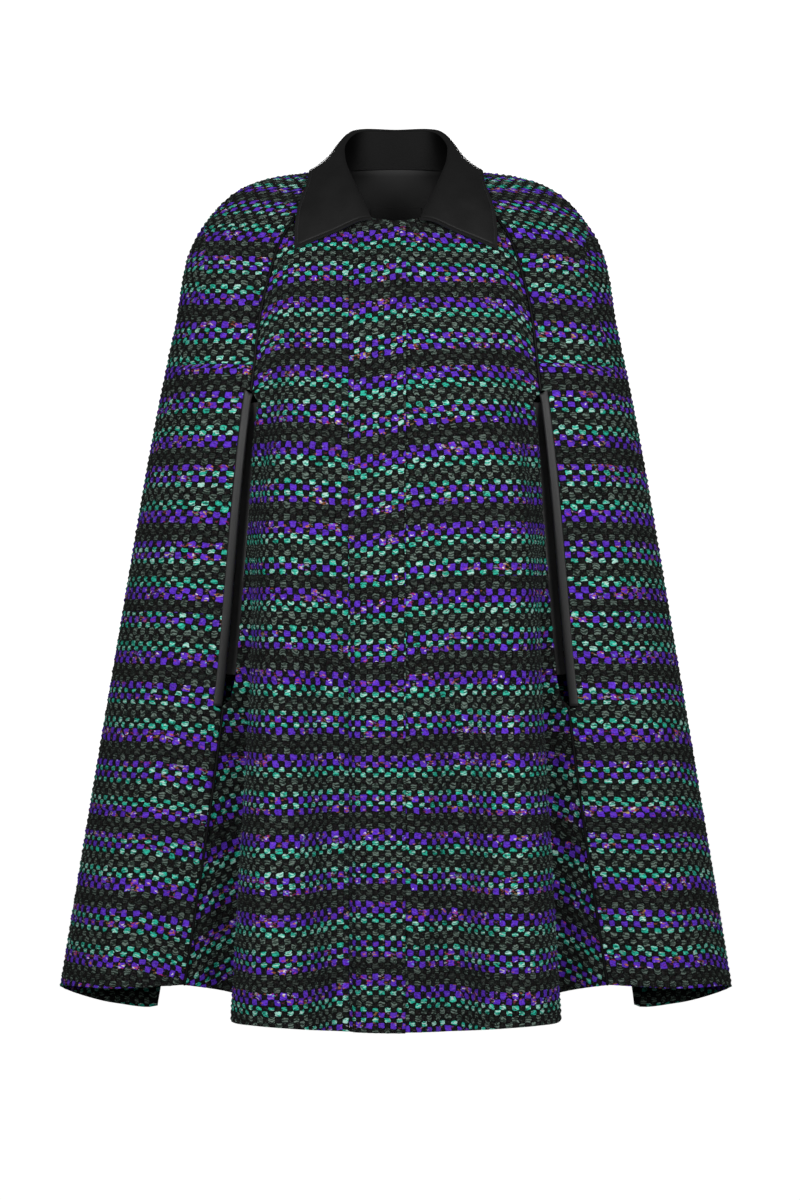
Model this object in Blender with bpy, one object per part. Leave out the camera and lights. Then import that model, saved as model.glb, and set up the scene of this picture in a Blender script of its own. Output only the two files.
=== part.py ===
"""Cape coat in striped tweed with leather collar, piping and arm slits, hollow as if worn.

Metres, +Z up, front towards -Y. The origin lies between the shoulders, where a wearer carries the coat.
"""
import bpy
import bmesh
import numpy as np

MM = 0.001

# Walls and gaps, in millimetres
CLOTH_WALL = 2.5
COLLAR_WALL = 1.8
FACING_WALL = 1.0
LABEL_WALL = 0.6
SEAM_GAP = 0.3

# Front band that hides the fastening: its sewn edge, its free edge and the cloth under it
BAND_SEAM_X = -47.0
BAND_EDGE_X = 10.0
BAND_RISE_WIDTH = 9.0
UNDERLAP_X = -36.0
BAND_TOP_LEVEL = 0.05
BAND_CLEAR = 0.9

# Arm slits and their leather welts
WELT_WIDTH = 9.5
INNER_WELT_REACH = (-9.5, 8.0)
SLIT_EDGE_SHIFT = (-8.5, 18.0)
SLIT_END_STEP = 0.01
SLIT_EASE = 0.035
SLIT_DEPTH_EASE = 0.14
WELT_COLUMNS = 3
OUTER_WELT_CLEAR = (0.012, 0.012)
INNER_WELT_CLEAR = (0.035, 0.11)

# Leather piping on the seams between the fronts and the cape sides
PIPING_RADIUS = 1.3
PIPING_LIFT = 0.4
PIPING_TOP_LEVEL = 0.62
PIPING_POINTS_UPPER = 14
PIPING_POINTS_LOWER = 9

# Collar: the fold at the roll line, and its rows and columns
ROLL_INSET = 3.0
COLLAR_COLUMNS = 26
LEAF_ROWS = 7
STAND_ROWS = 3
STAND_CLEAR = 0.7
STAND_SKIPS = 2
NECK_SAMPLES_FRONT = 40
NECK_SAMPLES_SIDE = 120

# Back neck facing and the plain label sewn on it
FACING_FROM = "back_valley"
FACING_LEVELS = (0.02, 0.78)
FACING_COLUMNS = 12
FACING_ROWS = 5
LABEL_WIDTH = 54.0
LABEL_LEVELS = (0.45, 0.66)
LABEL_COLUMNS = 4
LABEL_ROWS = 2
LABEL_CLEAR = 0.5

# Levels down the cloth, and how many rows of faces lie between one level and the next
LEVELS = ("neck", "shoulder", "upper_arm", "slit_top", "slit_bottom", "hem")
ROWS_BETWEEN = (4, 3, 2, 5, 4)
COLUMNS = {"front_right": 18, "front_band": 9, "front_left": 30, "cape_side": 8, "back": 24}
SLIT_TOP = float(LEVELS.index("slit_top"))
SLIT_BOTTOM = float(LEVELS.index("slit_bottom"))
HEM = float(LEVELS.index("hem"))

# Small steps that slopes are read over, the longest mitre at a seam, and the angle that shades as an edge
SLOPE_STEP = 0.01
TRIAL_STEP = 0.005
LENGTH_STEPS = 9
MITRE_LIMIT = 0.6
EDGE_ANGLE = 50.0

# Lines that run down the cloth, one row each, with a cell for each level above.
# A cell holds the distance out from the middle, the depth (front is minus) and the height.
FRONT_LINES = {
    "seam": (
        (58, -28, -2), (112, -61, -57), (129, -71, -108),
        (145, -75, -217), (176, -55, -538), (216, -45, -818),
    ),
    "valley": (
        (52, -44, -16), (102, -72, -68), (120, -82, -120),
        (137, -82, -222), (150, -42, -542), (164, -8, -832),
    ),
    "fold": (
        (44, -58, -29), (87, -83, -80), (108, -93, -134),
        (127, -91, -228), (147, -98, -546), (162, -112, -847),
    ),
    "front_mid": (
        (27, -74, -41), (50, -101, -104), (76, -113, -155),
        (108, -119, -232), (132, -133, -547), (140, -150, -845),
    ),
    "centre_front": (
        (0, -80, -46), (0, -108, -112), (0, -124, -165),
        (0, -135, -240), (0, -142, -553), (0, -122, -856),
    ),
}
# Soft creases down the fronts: how far to the left they lie at the top and at the hem, the height they start
# at, their half width, and how far they stand out at the hem
FRONT_CREASES = (
    {"x": (-74, -56), "top": -260, "width": 24, "rise": -43},
    {"x": (-24, -16), "top": -380, "width": 24, "rise": -12},
    {"x": (74, 58), "top": -260, "width": 24, "rise": -43},
)
CREASE_FOOT = -846
CREASE_GROWTH = 1.5
# The hem hangs lower where it stands back, so that it looks level from in front
CREASE_DROP = 0.13
CREASE_DROP_TOP = -427
SIDE_LINES = {
    "seam": FRONT_LINES["seam"],
    "lobe_front": (
        (68, -9, 9), (147, -38, -33), (176, -52, -80),
        (191, -62, -180), (232, -71, -535), (275, -72, -818),
    ),
    "overarm": (
        (73, 11, 16), (169, 4, -9), (206, 4, -53),
        (229, 6, -150), (298, 12, -530), (348, 20, -827),
    ),
    "lobe_back": (
        (68, 34, 20), (150, 44, -24), (185, 58, -72),
        (205, 72, -170), (255, 92, -545), (300, 112, -856),
    ),
    "back_valley": (
        (57, 49, 22), (122, 67, -36), (150, 86, -88),
        (170, 98, -186), (215, 100, -548), (256, 90, -857),
    ),
    "back_turn": (
        (47, 57, 23), (102, 79, -43), (124, 101, -99),
        (142, 117, -194), (200, 128, -548), (262, 134, -843),
    ),
    "back_fold": (
        (33, 63, 24), (76, 90, -51), (94, 112, -109),
        (108, 130, -201), (160, 154, -550), (205, 182, -842),
    ),
    "centre_back": (
        (0, 67, 25), (0, 100, -58), (0, 124, -118),
        (0, 141, -208), (0, 174, -552), (0, 205, -842),
    ),
}

# Stations are counted along each ring from the wearer's right seam to the left one
FRONT_END = 2.0 * (len(FRONT_LINES) - 1)
SIDE_END = 2.0 * (len(SIDE_LINES) - 1)
FRONT_MIDDLE = FRONT_END / 2
SIDE_MIDDLE = SIDE_END / 2
FRONT_SEARCH = np.linspace(FRONT_MIDDLE - 2.5, FRONT_MIDDLE + 2.5, 101)

# The overarm seam, as pairs of a level and a place on its ring counted in stations from the piped seam:
# on the overarm line at the neck and the hem, and in front of it below the shoulder
OVERARM_SEAM = (
    (0.0, 2.0), (1.6, 2.0), (2.0, 1.42), (2.3, 1.22), (2.6, 1.3), (3.0, 1.45),
    (3.2, 1.56), (3.6, 1.86), (4.0, 2.0),
)

# Collar stations round half the neck: the roll line's point, how far the fold drops inside it, the place
# on the coat that the edge lies over (sheet, position along its ring, level), its lift off it, and the
# leaf's swell
COLLAR_STATIONS = (
    {"roll": (26, -84, -45), "drop": 1.0, "edge": ("front", 1.30, 1.09), "lift": 5.0, "swell": 1.0},
    {"roll": (38, -58, -15), "drop": 4.0, "edge": ("side", 0.0, 0.72), "lift": 5.0, "swell": 4.0},
    {"roll": (49, -30, 11), "drop": 5.0, "edge": ("side", 0.75, 0.30), "lift": 4.0, "swell": 3.5},
    {"roll": (55, 0, 31), "drop": 5.0, "edge": ("side", 2.0, 0.14), "lift": 3.0, "swell": 2.5},
    {"roll": (54, 29, 50), "drop": 5.0, "edge": ("side", 3.0, 0.14), "lift": 3.0, "swell": 2.0},
    {"roll": (42, 51, 64), "drop": 5.0, "edge": ("side", 5.0, 0.26), "lift": 3.5, "swell": 3.0},
    {"roll": (0, 60, 66), "drop": 5.0, "edge": ("side", SIDE_MIDDLE, 0.36), "lift": 4.0, "swell": 5.0},
)

COLOURS = {
    "tweed": ((0.045, 0.055, 0.085), 0.9),
    "leather": ((0.014, 0.014, 0.014), 0.5),
    "satin": ((0.010, 0.010, 0.010), 0.45),
}


def material(name):
    """The finish of one kind of piece, made once."""
    if name in bpy.data.materials:
        return bpy.data.materials[name]
    colour, roughness = COLOURS[name]
    made = bpy.data.materials.new(name)
    made.use_nodes = True
    shader = made.node_tree.nodes["Principled BSDF"]
    shader.inputs["Base Color"].default_value = (*colour, 1.0)
    shader.inputs["Roughness"].default_value = roughness
    shader.inputs["Metallic"].default_value = 0.0
    return made


def smooth_curve(points, at):
    """Points of a smooth curve through points, read at positions counted in points from the first."""
    points = np.asarray(points, float)
    at = np.atleast_1d(np.asarray(at, float))
    spans = np.linalg.norm(np.diff(points, axis=0), axis=1)[:, None]
    slopes = np.diff(points, axis=0) / spans
    tangents = np.empty_like(points)
    tangents[1:-1] = (spans[1:] * slopes[:-1] + spans[:-1] * slopes[1:]) / (spans[1:] + spans[:-1])
    tangents[0] = 1.5 * slopes[0] - 0.5 * tangents[1]
    tangents[-1] = 1.5 * slopes[-1] - 0.5 * tangents[-2]
    cell = np.clip(np.floor(at).astype(int), 0, len(points) - 2)
    part = (at - cell)[:, None]
    span = spans[cell]
    return (
        (2 * part**3 - 3 * part**2 + 1) * points[cell]
        + (part**3 - 2 * part**2 + part) * span * tangents[cell]
        + (3 * part**2 - 2 * part**3) * points[cell + 1]
        + (part**3 - part**2) * span * tangents[cell + 1]
    )


def ease(value):
    """0 to 1 with a soft start and end."""
    value = min(max(value, 0.0), 1.0)
    return value * value * (3.0 - 2.0 * value)


def slit_open(level, span=SLIT_EASE):
    """How far the arm slit gapes at a level, 0 outside it and 1 along its length, over a span at each end."""
    return ease((level - SLIT_TOP) / span) * ease((SLIT_BOTTOM - level) / span)


def in_slit(level):
    return SLIT_TOP + SLIT_END_STEP / 2 < level < SLIT_BOTTOM - SLIT_END_STEP / 2


def ring_stations(sheet, level):
    """The stations round one level of the front sheet, or of the sheet of sides and back, right to left."""
    lines = FRONT_LINES if sheet == "front" else SIDE_LINES
    half = [smooth_curve(cells, level)[0] for cells in lines.values()]
    if sheet == "front":
        shift_out = SLIT_EDGE_SHIFT[0] * slit_open(level)
        shift_depth = SLIT_EDGE_SHIFT[1] * slit_open(level, SLIT_DEPTH_EASE)
        half[0] = half[0] + (shift_out, shift_depth, 0.0)
    right = [point * (-1, 1, 1) for point in half]
    left = half[-2::-1]
    return right + left


def crease_rise(x, height):
    """How far the creases of the fronts stand out at a place, from nothing at their tops to the most at the hem."""
    rise = 0.0
    for crease in FRONT_CREASES:
        part = min(max((crease["top"] - height) / (crease["top"] - CREASE_FOOT), 0.0), 1.0)
        middle = crease["x"][0] + (crease["x"][1] - crease["x"][0]) * part
        rise += crease["rise"] * ease(part * CREASE_GROWTH) * np.exp(-(((x - middle) / crease["width"]) ** 2))
    return rise


def ring_points(sheet, level, at):
    points = smooth_curve(ring_stations(sheet, level), at)
    if sheet == "front":
        rise = np.array([crease_rise(x, height) for x, _, height in points])
        part = np.clip((CREASE_DROP_TOP - points[:, 2]) / (CREASE_DROP_TOP - CREASE_FOOT), 0.0, 1.0)
        points[:, 1] -= rise
        points[:, 2] += rise * CREASE_DROP * part
    return points


def ring_normals(sheet, level, at):
    """Outward unit normals of the sheet, from its slopes along and across the ring."""
    at = np.atleast_1d(np.asarray(at, float))
    last = len(ring_stations(sheet, level)) - 1
    along = ring_points(sheet, level, np.minimum(at + SLOPE_STEP, last))
    along = along - ring_points(sheet, level, np.maximum(at - SLOPE_STEP, 0.0))
    below = ring_points(sheet, min(level + SLOPE_STEP, HEM), at)
    down = below - ring_points(sheet, max(level - SLOPE_STEP, 0.0), at)
    normals = np.cross(down, along) if sheet == "front" else np.cross(along, down)
    return normals / np.linalg.norm(normals, axis=1)[:, None]


def step_along(sheet, level, start, distance):
    """The position on the ring that lies a distance along it from start."""
    trial = TRIAL_STEP if distance > 0 else -TRIAL_STEP
    two = ring_points(sheet, level, (start, start + trial))
    guess = start + trial * abs(distance) / np.linalg.norm(two[1] - two[0])
    steps = np.linspace(start, guess, LENGTH_STEPS)
    length = np.linalg.norm(np.diff(ring_points(sheet, level, steps), axis=0), axis=1).sum()
    return start + (guess - start) * abs(distance) / length


def position_at_x(level, x):
    """The position on the front ring where it crosses x."""
    return float(np.interp(x, ring_points("front", level, FRONT_SEARCH)[:, 0], FRONT_SEARCH))


def seam_normal(level, side):
    """Outward direction that both sheets share at the seam, and how much longer a wall is along it."""
    front_end = 0.0 if side < 0 else FRONT_END
    side_end = 0.0 if side < 0 else SIDE_END
    front = ring_normals("front", level, front_end)[0]
    beside = ring_normals("side", level, side_end)[0]
    middle = front + beside
    middle = middle / np.linalg.norm(middle)
    return middle, 1.0 / max(middle @ front, MITRE_LIMIT)


def edge_wall(level, side, normal):
    """Vector through the wall at an edge on the seam: both sheets' own, or one's where the slit gapes."""
    shared, stretch = seam_normal(level, side)
    own = slit_open(level)
    return CLOTH_WALL * (normal * own + shared * stretch * (1.0 - own))


def levels_of_cloth():
    """Every level at which the panels have a row of points."""
    rows = [0.0]
    for span, count in enumerate(ROWS_BETWEEN):
        rows += [span + (row + 1) / count for row in range(count)]
    for step in (SLIT_END_STEP, SLIT_EASE):
        rows += [SLIT_TOP + step, SLIT_BOTTOM - step]
    return sorted(rows)


def finish(name, bm, finish_name):
    """Turns a bmesh, in millimetres, into a named object with its faces outward."""
    bmesh.ops.triangulate(bm, faces=bm.faces)
    bmesh.ops.recalc_face_normals(bm, faces=bm.faces)
    if bm.calc_volume(signed=True) < 0:
        bmesh.ops.reverse_faces(bm, faces=bm.faces)
    bmesh.ops.scale(bm, vec=(MM, MM, MM), verts=bm.verts)
    mesh = bpy.data.meshes.new(name)
    bm.to_mesh(mesh)
    bm.free()
    mesh.shade_smooth()
    mesh.set_sharp_from_angle(angle=np.radians(EDGE_ANGLE))
    mesh.materials.append(material(finish_name))
    made = bpy.data.objects.new(name, mesh)
    bpy.context.collection.objects.link(made)
    return made


def wall(name, outer, inner, finish_name):
    """A closed wall between two grids of points, rows down and columns along."""
    bm = bmesh.new()
    faces = []
    for grid in (outer, inner):
        verts = [[bm.verts.new(point) for point in row] for row in grid]
        faces.append(verts)
    rows, columns = len(outer), len(outer[0])
    for verts in faces:
        for row in range(rows - 1):
            for column in range(columns - 1):
                corners = (verts[row][column], verts[row][column + 1])
                bm.faces.new((*corners, verts[row + 1][column + 1], verts[row + 1][column]))
    border = [(0, column) for column in range(columns - 1)]
    border += [(row, columns - 1) for row in range(rows - 1)]
    border += [(rows - 1, column) for column in range(columns - 1, 0, -1)]
    border += [(row, 0) for row in range(rows - 1, 0, -1)]
    for here, there in zip(border, border[1:] + border[:1]):
        pairs = [verts[row][column] for verts in faces for row, column in (here, there)]
        bm.faces.new((pairs[0], pairs[1], pairs[3], pairs[2]))
    return finish(name, bm, finish_name)


def panel(name, sheet, start, end, columns, raise_by=None, top=0.0):
    """A cloth panel between two places on the ring, each a function of the level, with its wall inside."""
    outer = []
    inner = []
    for level in [top] + levels_of_cloth()[1:]:
        first = start(level)
        last = end(level)
        at = np.linspace(first, last, columns + 1)
        points = ring_points(sheet, level, at)
        normals = ring_normals(sheet, level, at)
        through = normals * CLOTH_WALL
        on_seam = sheet == "front" or not in_slit(level)
        if on_seam and first < 0.5:
            through[0] = edge_wall(level, -1, normals[0])
        if on_seam and last > len(ring_stations(sheet, level)) - 1.5:
            through[-1] = edge_wall(level, 1, normals[-1])
        if raise_by:
            points = points + normals * np.array([raise_by(x) for x in points[:, 0]])[:, None]
        outer.append(points)
        inner.append(points - through)
    return wall(name, outer, inner, "tweed")


def band_rise(x):
    """How far the front band stands off the cloth beneath it."""
    return (CLOTH_WALL + BAND_CLEAR) * ease((x - BAND_SEAM_X) / BAND_RISE_WIDTH)


def make_fronts():
    half_gap = SEAM_GAP / 2

    def right_seam(level):
        return step_along("front", level, 0.0, half_gap)

    def left_seam(level):
        return step_along("front", level, FRONT_END, -half_gap)

    def right_front_end(level):
        return position_at_x(level, BAND_SEAM_X - half_gap)

    def band_start(level):
        return position_at_x(level, BAND_SEAM_X + half_gap)

    def band_end(level):
        return position_at_x(level, BAND_EDGE_X)

    def left_front_start(level):
        return position_at_x(level, UNDERLAP_X)

    panel("front_right", "front", right_seam, right_front_end, COLUMNS["front_right"])
    panel("front_band", "front", band_start, band_end, COLUMNS["front_band"], band_rise, BAND_TOP_LEVEL)
    panel("front_left", "front", left_front_start, left_seam, COLUMNS["front_left"])


def cape_side_edge(level):
    """Where the cape side's cloth begins: at the seam, or beyond the welt along the slit."""
    distance = WELT_WIDTH + SEAM_GAP if in_slit(level) else SEAM_GAP / 2
    return step_along("side", level, 0.0, distance)


def make_sides_and_back():
    half_gap = SEAM_GAP / 2

    def overarm_seam(level):
        return float(np.interp(level, *zip(*OVERARM_SEAM)))

    def right_overarm(level):
        return step_along("side", level, overarm_seam(level), -half_gap)

    def back_start(level):
        return step_along("side", level, overarm_seam(level), half_gap)

    def back_end(level):
        return SIDE_END - back_start(level)

    def left_overarm(level):
        return SIDE_END - right_overarm(level)

    def left_edge(level):
        return SIDE_END - cape_side_edge(level)

    panel("cape_side_right", "side", cape_side_edge, right_overarm, COLUMNS["cape_side"])
    panel("back", "side", back_start, back_end, COLUMNS["back"])
    panel("cape_side_left", "side", left_overarm, left_edge, COLUMNS["cape_side"])


def slit_levels(clear):
    """Levels of a welt, clear of the top and the bottom of the slit by that much of a level."""
    first = SLIT_TOP + clear[0]
    last = SLIT_BOTTOM - clear[1]
    apart = SLIT_END_STEP / 10
    middle = [level for level in levels_of_cloth() if first + apart < level < last - apart]
    return [first] + middle + [last]


def mirrored(grid, side):
    return [row * (-side, 1, 1) for row in grid]


def make_outer_welt(side, side_name):
    """The leather welt on the cape side's edge of the arm slit, facing forward."""
    face = []
    back = []
    for level in slit_levels(OUTER_WELT_CLEAR):
        first = step_along("side", level, 0.0, SEAM_GAP / 2)
        last = step_along("side", level, 0.0, WELT_WIDTH)
        at = np.linspace(first, last, WELT_COLUMNS + 1)
        points = ring_points("side", level, at)
        normals = ring_normals("side", level, at)
        through = normals * CLOTH_WALL
        through[0] = edge_wall(level, -1, normals[0])
        face.append(points)
        back.append(points - through)
    wall("welt_outer_" + side_name, mirrored(face, side), mirrored(back, side), "leather")


def make_inner_welt(side, side_name):
    """The leather welt on the front's edge of the arm slit, turned in behind the outer welt."""
    face = []
    back = []
    into_coat = np.array((*INNER_WELT_REACH, 0.0))
    to_middle = np.array((COLLAR_WALL, 0.0, 0.0))
    for level in slit_levels(INNER_WELT_CLEAR):
        edge, inside = ring_points("front", level, (0.0, SLOPE_STEP))
        along = (edge - inside) / np.linalg.norm(edge - inside)
        through = edge_wall(level, -1, ring_normals("front", level, 0.0)[0]) * COLLAR_WALL / CLOTH_WALL
        start = edge + along * SEAM_GAP
        end = start + into_coat
        face.append(np.array((start, end)))
        back.append(np.array((start - through, end + to_middle)))
    wall("welt_inner_" + side_name, mirrored(face, side), mirrored(back, side), "leather")


def piping(name, side, top, bottom, count):
    """A leather cord along the seam between two levels."""
    route = []
    for level in np.linspace(top, bottom, count):
        seam = ring_points("side", level, 0.0)[0]
        outward, _ = seam_normal(level, -1)
        route.append((seam + outward * (PIPING_RADIUS + PIPING_LIFT)) * (-side, 1, 1) * MM)
    curve = bpy.data.curves.new(name, "CURVE")
    curve.dimensions = "3D"
    curve.bevel_depth = PIPING_RADIUS * MM
    curve.bevel_resolution = 1
    curve.use_fill_caps = True
    line = curve.splines.new("POLY")
    line.points.add(len(route) - 1)
    for point, place in zip(line.points, route):
        point.co = (*place, 1.0)
    curve.materials.append(material("leather"))
    bpy.context.collection.objects.link(bpy.data.objects.new(name, curve))


def collar_lines():
    """Roll points, edge points, drops and swells of the collar, from its right end round to its left."""
    rows = []
    for station in COLLAR_STATIONS:
        sheet, at, level = station["edge"]
        edge = ring_points(sheet, level, at)[0] + ring_normals(sheet, level, at)[0] * station["lift"]
        roll = np.array(station["roll"]) * (-1.0, 1.0, 1.0)
        rows.append((roll, edge, station["drop"], station["swell"]))
    flip = np.array((-1.0, 1.0, 1.0))
    rows += [(roll * flip, edge * flip, drop, swell) for roll, edge, drop, swell in rows[-2::-1]]
    rolls, edges, drops, swells = zip(*rows)
    stations = np.arange(len(rows))
    at = np.linspace(0, stations[-1], COLLAR_COLUMNS + 1)
    drops = np.interp(at, stations, drops)
    swells = np.interp(at, stations, swells)
    return smooth_curve(rolls, at), smooth_curve(edges, at), drops, swells


def grid_normals(grid):
    """Unit normals of a grid of points, rows down and columns along."""
    grid = np.asarray(grid)
    normals = np.cross(np.gradient(grid, axis=1), np.gradient(grid, axis=0))
    return normals / np.linalg.norm(normals, axis=2)[:, :, None]


def across_roll(rolls, edges):
    """Unit directions at each point of the roll line: out of the neck, and up, both square to the line."""
    run = np.gradient(rolls, axis=0)
    run = run / np.linalg.norm(run, axis=1)[:, None]
    out = (edges - rolls) * (1, 1, 0)
    out = out - (out * run).sum(axis=1)[:, None] * run
    out = out / np.linalg.norm(out, axis=1)[:, None]
    up = np.cross(run, out)
    return out, up * np.sign(up[:, 2:])


def make_collar():
    """The turned-down leather collar and the stand inside it, up from the neck seam to the roll line."""
    rolls, edges, drops, swells = collar_lines()
    out, up = across_roll(rolls, edges)
    starts = rolls - out * ROLL_INSET - up * drops[:, None]
    proud = np.cross(np.gradient(rolls, axis=0), edges - rolls)
    proud = proud / np.linalg.norm(proud, axis=1)[:, None]
    middles = (rolls + edges) / 2 + proud * swells[:, None]
    read = np.linspace(0, 3, LEAF_ROWS + 1)
    columns = [smooth_curve(column, read) for column in zip(starts, rolls, middles, edges)]
    outer = np.array(columns).transpose(1, 0, 2)
    through = grid_normals(outer)
    through[0] = -out
    wall("collar_fall", outer, outer - through * COLLAR_WALL, "leather")
    behind_ends = slice(STAND_SKIPS, -STAND_SKIPS)
    make_stand((starts - up * SEAM_GAP)[behind_ends], out[behind_ends])


def make_stand(tops, out):
    """The collar stand, from the neck seam up to the start of the roll."""
    neck_line = np.concatenate((
        ring_points("front", 0.0, np.linspace(FRONT_MIDDLE, 0.0, NECK_SAMPLES_FRONT)[:-1]),
        ring_points("side", 0.0, np.linspace(0.0, SIDE_END, NECK_SAMPLES_SIDE)),
        ring_points("front", 0.0, np.linspace(FRONT_END, FRONT_MIDDLE, NECK_SAMPLES_FRONT)[1:]),
    ))
    turns = np.unwrap(np.arctan2(-neck_line[:, 0], -neck_line[:, 1]))
    wanted = np.unwrap(np.arctan2(-tops[:, 0], -tops[:, 1]))
    feet = np.array([np.interp(wanted, turns, neck_line[:, axis]) for axis in range(3)]).T
    feet = feet + (0.0, 0.0, STAND_CLEAR)
    rows = [tops + (feet - tops) * share for share in np.linspace(0.0, 1.0, STAND_ROWS + 1)]
    inside = np.array(rows)
    through = grid_normals(inside)
    through[0] = out
    wall("collar_stand", inside + through * COLLAR_WALL, inside, "leather")


def lining_patch(name, at_of_level, levels, columns, start_depth, thickness):
    """A patch inside the back: made from the back's points, moved in."""
    outer = []
    inner = []
    for level in levels:
        first, last = at_of_level(level)
        at = np.linspace(first, last, columns + 1)
        points = ring_points("side", level, at)
        normals = ring_normals("side", level, at)
        outer.append(points - normals * start_depth)
        inner.append(points - normals * (start_depth + thickness))
    return wall(name, outer, inner, "satin")


def make_neck_inside():
    """The facing inside the back neck, and the plain label on it."""
    facing_depth = CLOTH_WALL + SEAM_GAP
    facing_levels = np.linspace(*FACING_LEVELS, FACING_ROWS + 1)
    label_levels = np.linspace(*LABEL_LEVELS, LABEL_ROWS + 1)
    facing_from = float(list(SIDE_LINES).index(FACING_FROM))

    def facing_span(level):
        return facing_from, SIDE_END - facing_from

    def label_span(level):
        start = step_along("side", level, SIDE_MIDDLE, -LABEL_WIDTH / 2)
        return start, SIDE_END - start

    lining_patch("neck_facing", facing_span, facing_levels, FACING_COLUMNS, facing_depth, FACING_WALL)
    label_depth = facing_depth + FACING_WALL + LABEL_CLEAR
    lining_patch("label", label_span, label_levels, LABEL_COLUMNS, label_depth, LABEL_WALL)


for old in list(bpy.data.objects):
    bpy.data.objects.remove(old)

make_fronts()
make_sides_and_back()
for side, side_name in ((1, "right"), (-1, "left")):
    make_outer_welt(-side, side_name)
    make_inner_welt(-side, side_name)
    piping("piping_upper_" + side_name, -side, PIPING_TOP_LEVEL, SLIT_TOP, PIPING_POINTS_UPPER)
    piping("piping_lower_" + side_name, -side, SLIT_BOTTOM, HEM, PIPING_POINTS_LOWER)
make_collar()
make_neck_inside()
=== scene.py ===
import bmesh
import bpy
import numpy as np
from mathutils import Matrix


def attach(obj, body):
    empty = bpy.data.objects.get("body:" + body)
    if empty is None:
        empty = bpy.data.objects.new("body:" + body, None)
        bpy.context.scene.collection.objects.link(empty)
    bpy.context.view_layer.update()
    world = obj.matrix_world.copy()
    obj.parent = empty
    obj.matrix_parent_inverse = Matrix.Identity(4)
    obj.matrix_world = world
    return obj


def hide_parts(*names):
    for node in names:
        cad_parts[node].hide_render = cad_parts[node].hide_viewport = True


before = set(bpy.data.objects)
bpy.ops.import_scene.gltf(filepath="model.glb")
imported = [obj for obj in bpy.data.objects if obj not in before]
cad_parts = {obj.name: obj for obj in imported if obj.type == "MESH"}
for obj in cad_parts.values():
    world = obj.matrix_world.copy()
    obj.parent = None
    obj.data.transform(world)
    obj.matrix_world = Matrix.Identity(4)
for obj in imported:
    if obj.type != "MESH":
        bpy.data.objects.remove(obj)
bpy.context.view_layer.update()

# The fronts and the band
# Heavy boucle tweed in plain weave: thick coloured picks over black ends, so each pick shows as a row of
# separate floats. The right front, the left front that runs on under it, and the band sewn to the right
# front over the hidden fastening are each one layer of cloth, joined to the cape sides in piped seams.
MM = 0.001
CLOTH_WALL = 2.5
SEAM_GAP = 0.3
BAND_SEAM_X = -47.0
BAND_EDGE_X = 10.0
BAND_RISE = 3.4
BAND_RISE_WIDTH = 9.0
BAND_TOP = 0.05
UNDERLAP_X = -36.0
NECK, SHOULDER, UPPER_ARM, SLIT_TOP, SLIT_BOTTOM, HEM = (float(level) for level in range(6))
SLIT_EDGE_SHIFT = (-8.5, 18.0)
SLIT_EASE = 0.035
SLIT_DEPTH_EASE = 0.14
# Rows of points over a panel, down to each level from the one above
ROWS_TO = {SHOULDER: 40, UPPER_ARM: 28, SLIT_TOP: 50, SLIT_BOTTOM: 140, HEM: 120}
# How a place on a ring is looked for: a short first step, the points walked to it, and the part of the
# front that is searched
TRIAL_STEP = 0.005
WALK_POINTS = 9
FRONT_SEARCH = (1.5, 6.5, 101)

# Lines down the cloth with a cell for each level from neck to hem: out from the middle, depth, height, in mm
FRONT_LINES = {
    "seam": (
        (58, -28, -2), (112, -61, -57), (129, -71, -108),
        (145, -75, -217), (176, -55, -538), (216, -45, -818),
    ),
    "valley": (
        (52, -44, -16), (102, -72, -68), (120, -82, -120),
        (137, -82, -222), (150, -42, -542), (164, -8, -832),
    ),
    "fold": (
        (44, -58, -29), (87, -83, -80), (108, -93, -134),
        (127, -91, -228), (147, -98, -546), (162, -112, -847),
    ),
    "front_mid": (
        (27, -74, -41), (50, -101, -104), (76, -113, -155),
        (108, -119, -232), (132, -133, -547), (140, -150, -845),
    ),
    "centre_front": (
        (0, -80, -46), (0, -108, -112), (0, -124, -165),
        (0, -135, -240), (0, -142, -553), (0, -122, -856),
    ),
}
FRONT_END = 2.0 * (len(FRONT_LINES) - 1)
# Soft creases down the fronts: how far to the left they lie at the top and at the hem, the height they start
# at, their half width, and how far they stand out at the hem
FRONT_CREASES = (
    {"x": (-74, -56), "top": -260, "width": 24, "rise": -43},
    {"x": (-24, -16), "top": -380, "width": 24, "rise": -12},
    {"x": (74, 58), "top": -260, "width": 24, "rise": -43},
)
CREASE_FOOT = -846
CREASE_GROWTH = 1.5
# The hem hangs lower where it stands back, so that it looks level from in front
CREASE_DROP = 0.13
CREASE_DROP_TOP = -427

# Weave: the repeat of picks and their widths in mm. P purple, T teal, G slate, N dark slate, K black
STRIPES = "PPTTGGTPTPNKN"
PICK_WIDTHS = {"P": 6.2, "T": 5.1, "G": 6.6, "N": 6.3, "K": 6.0}
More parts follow.
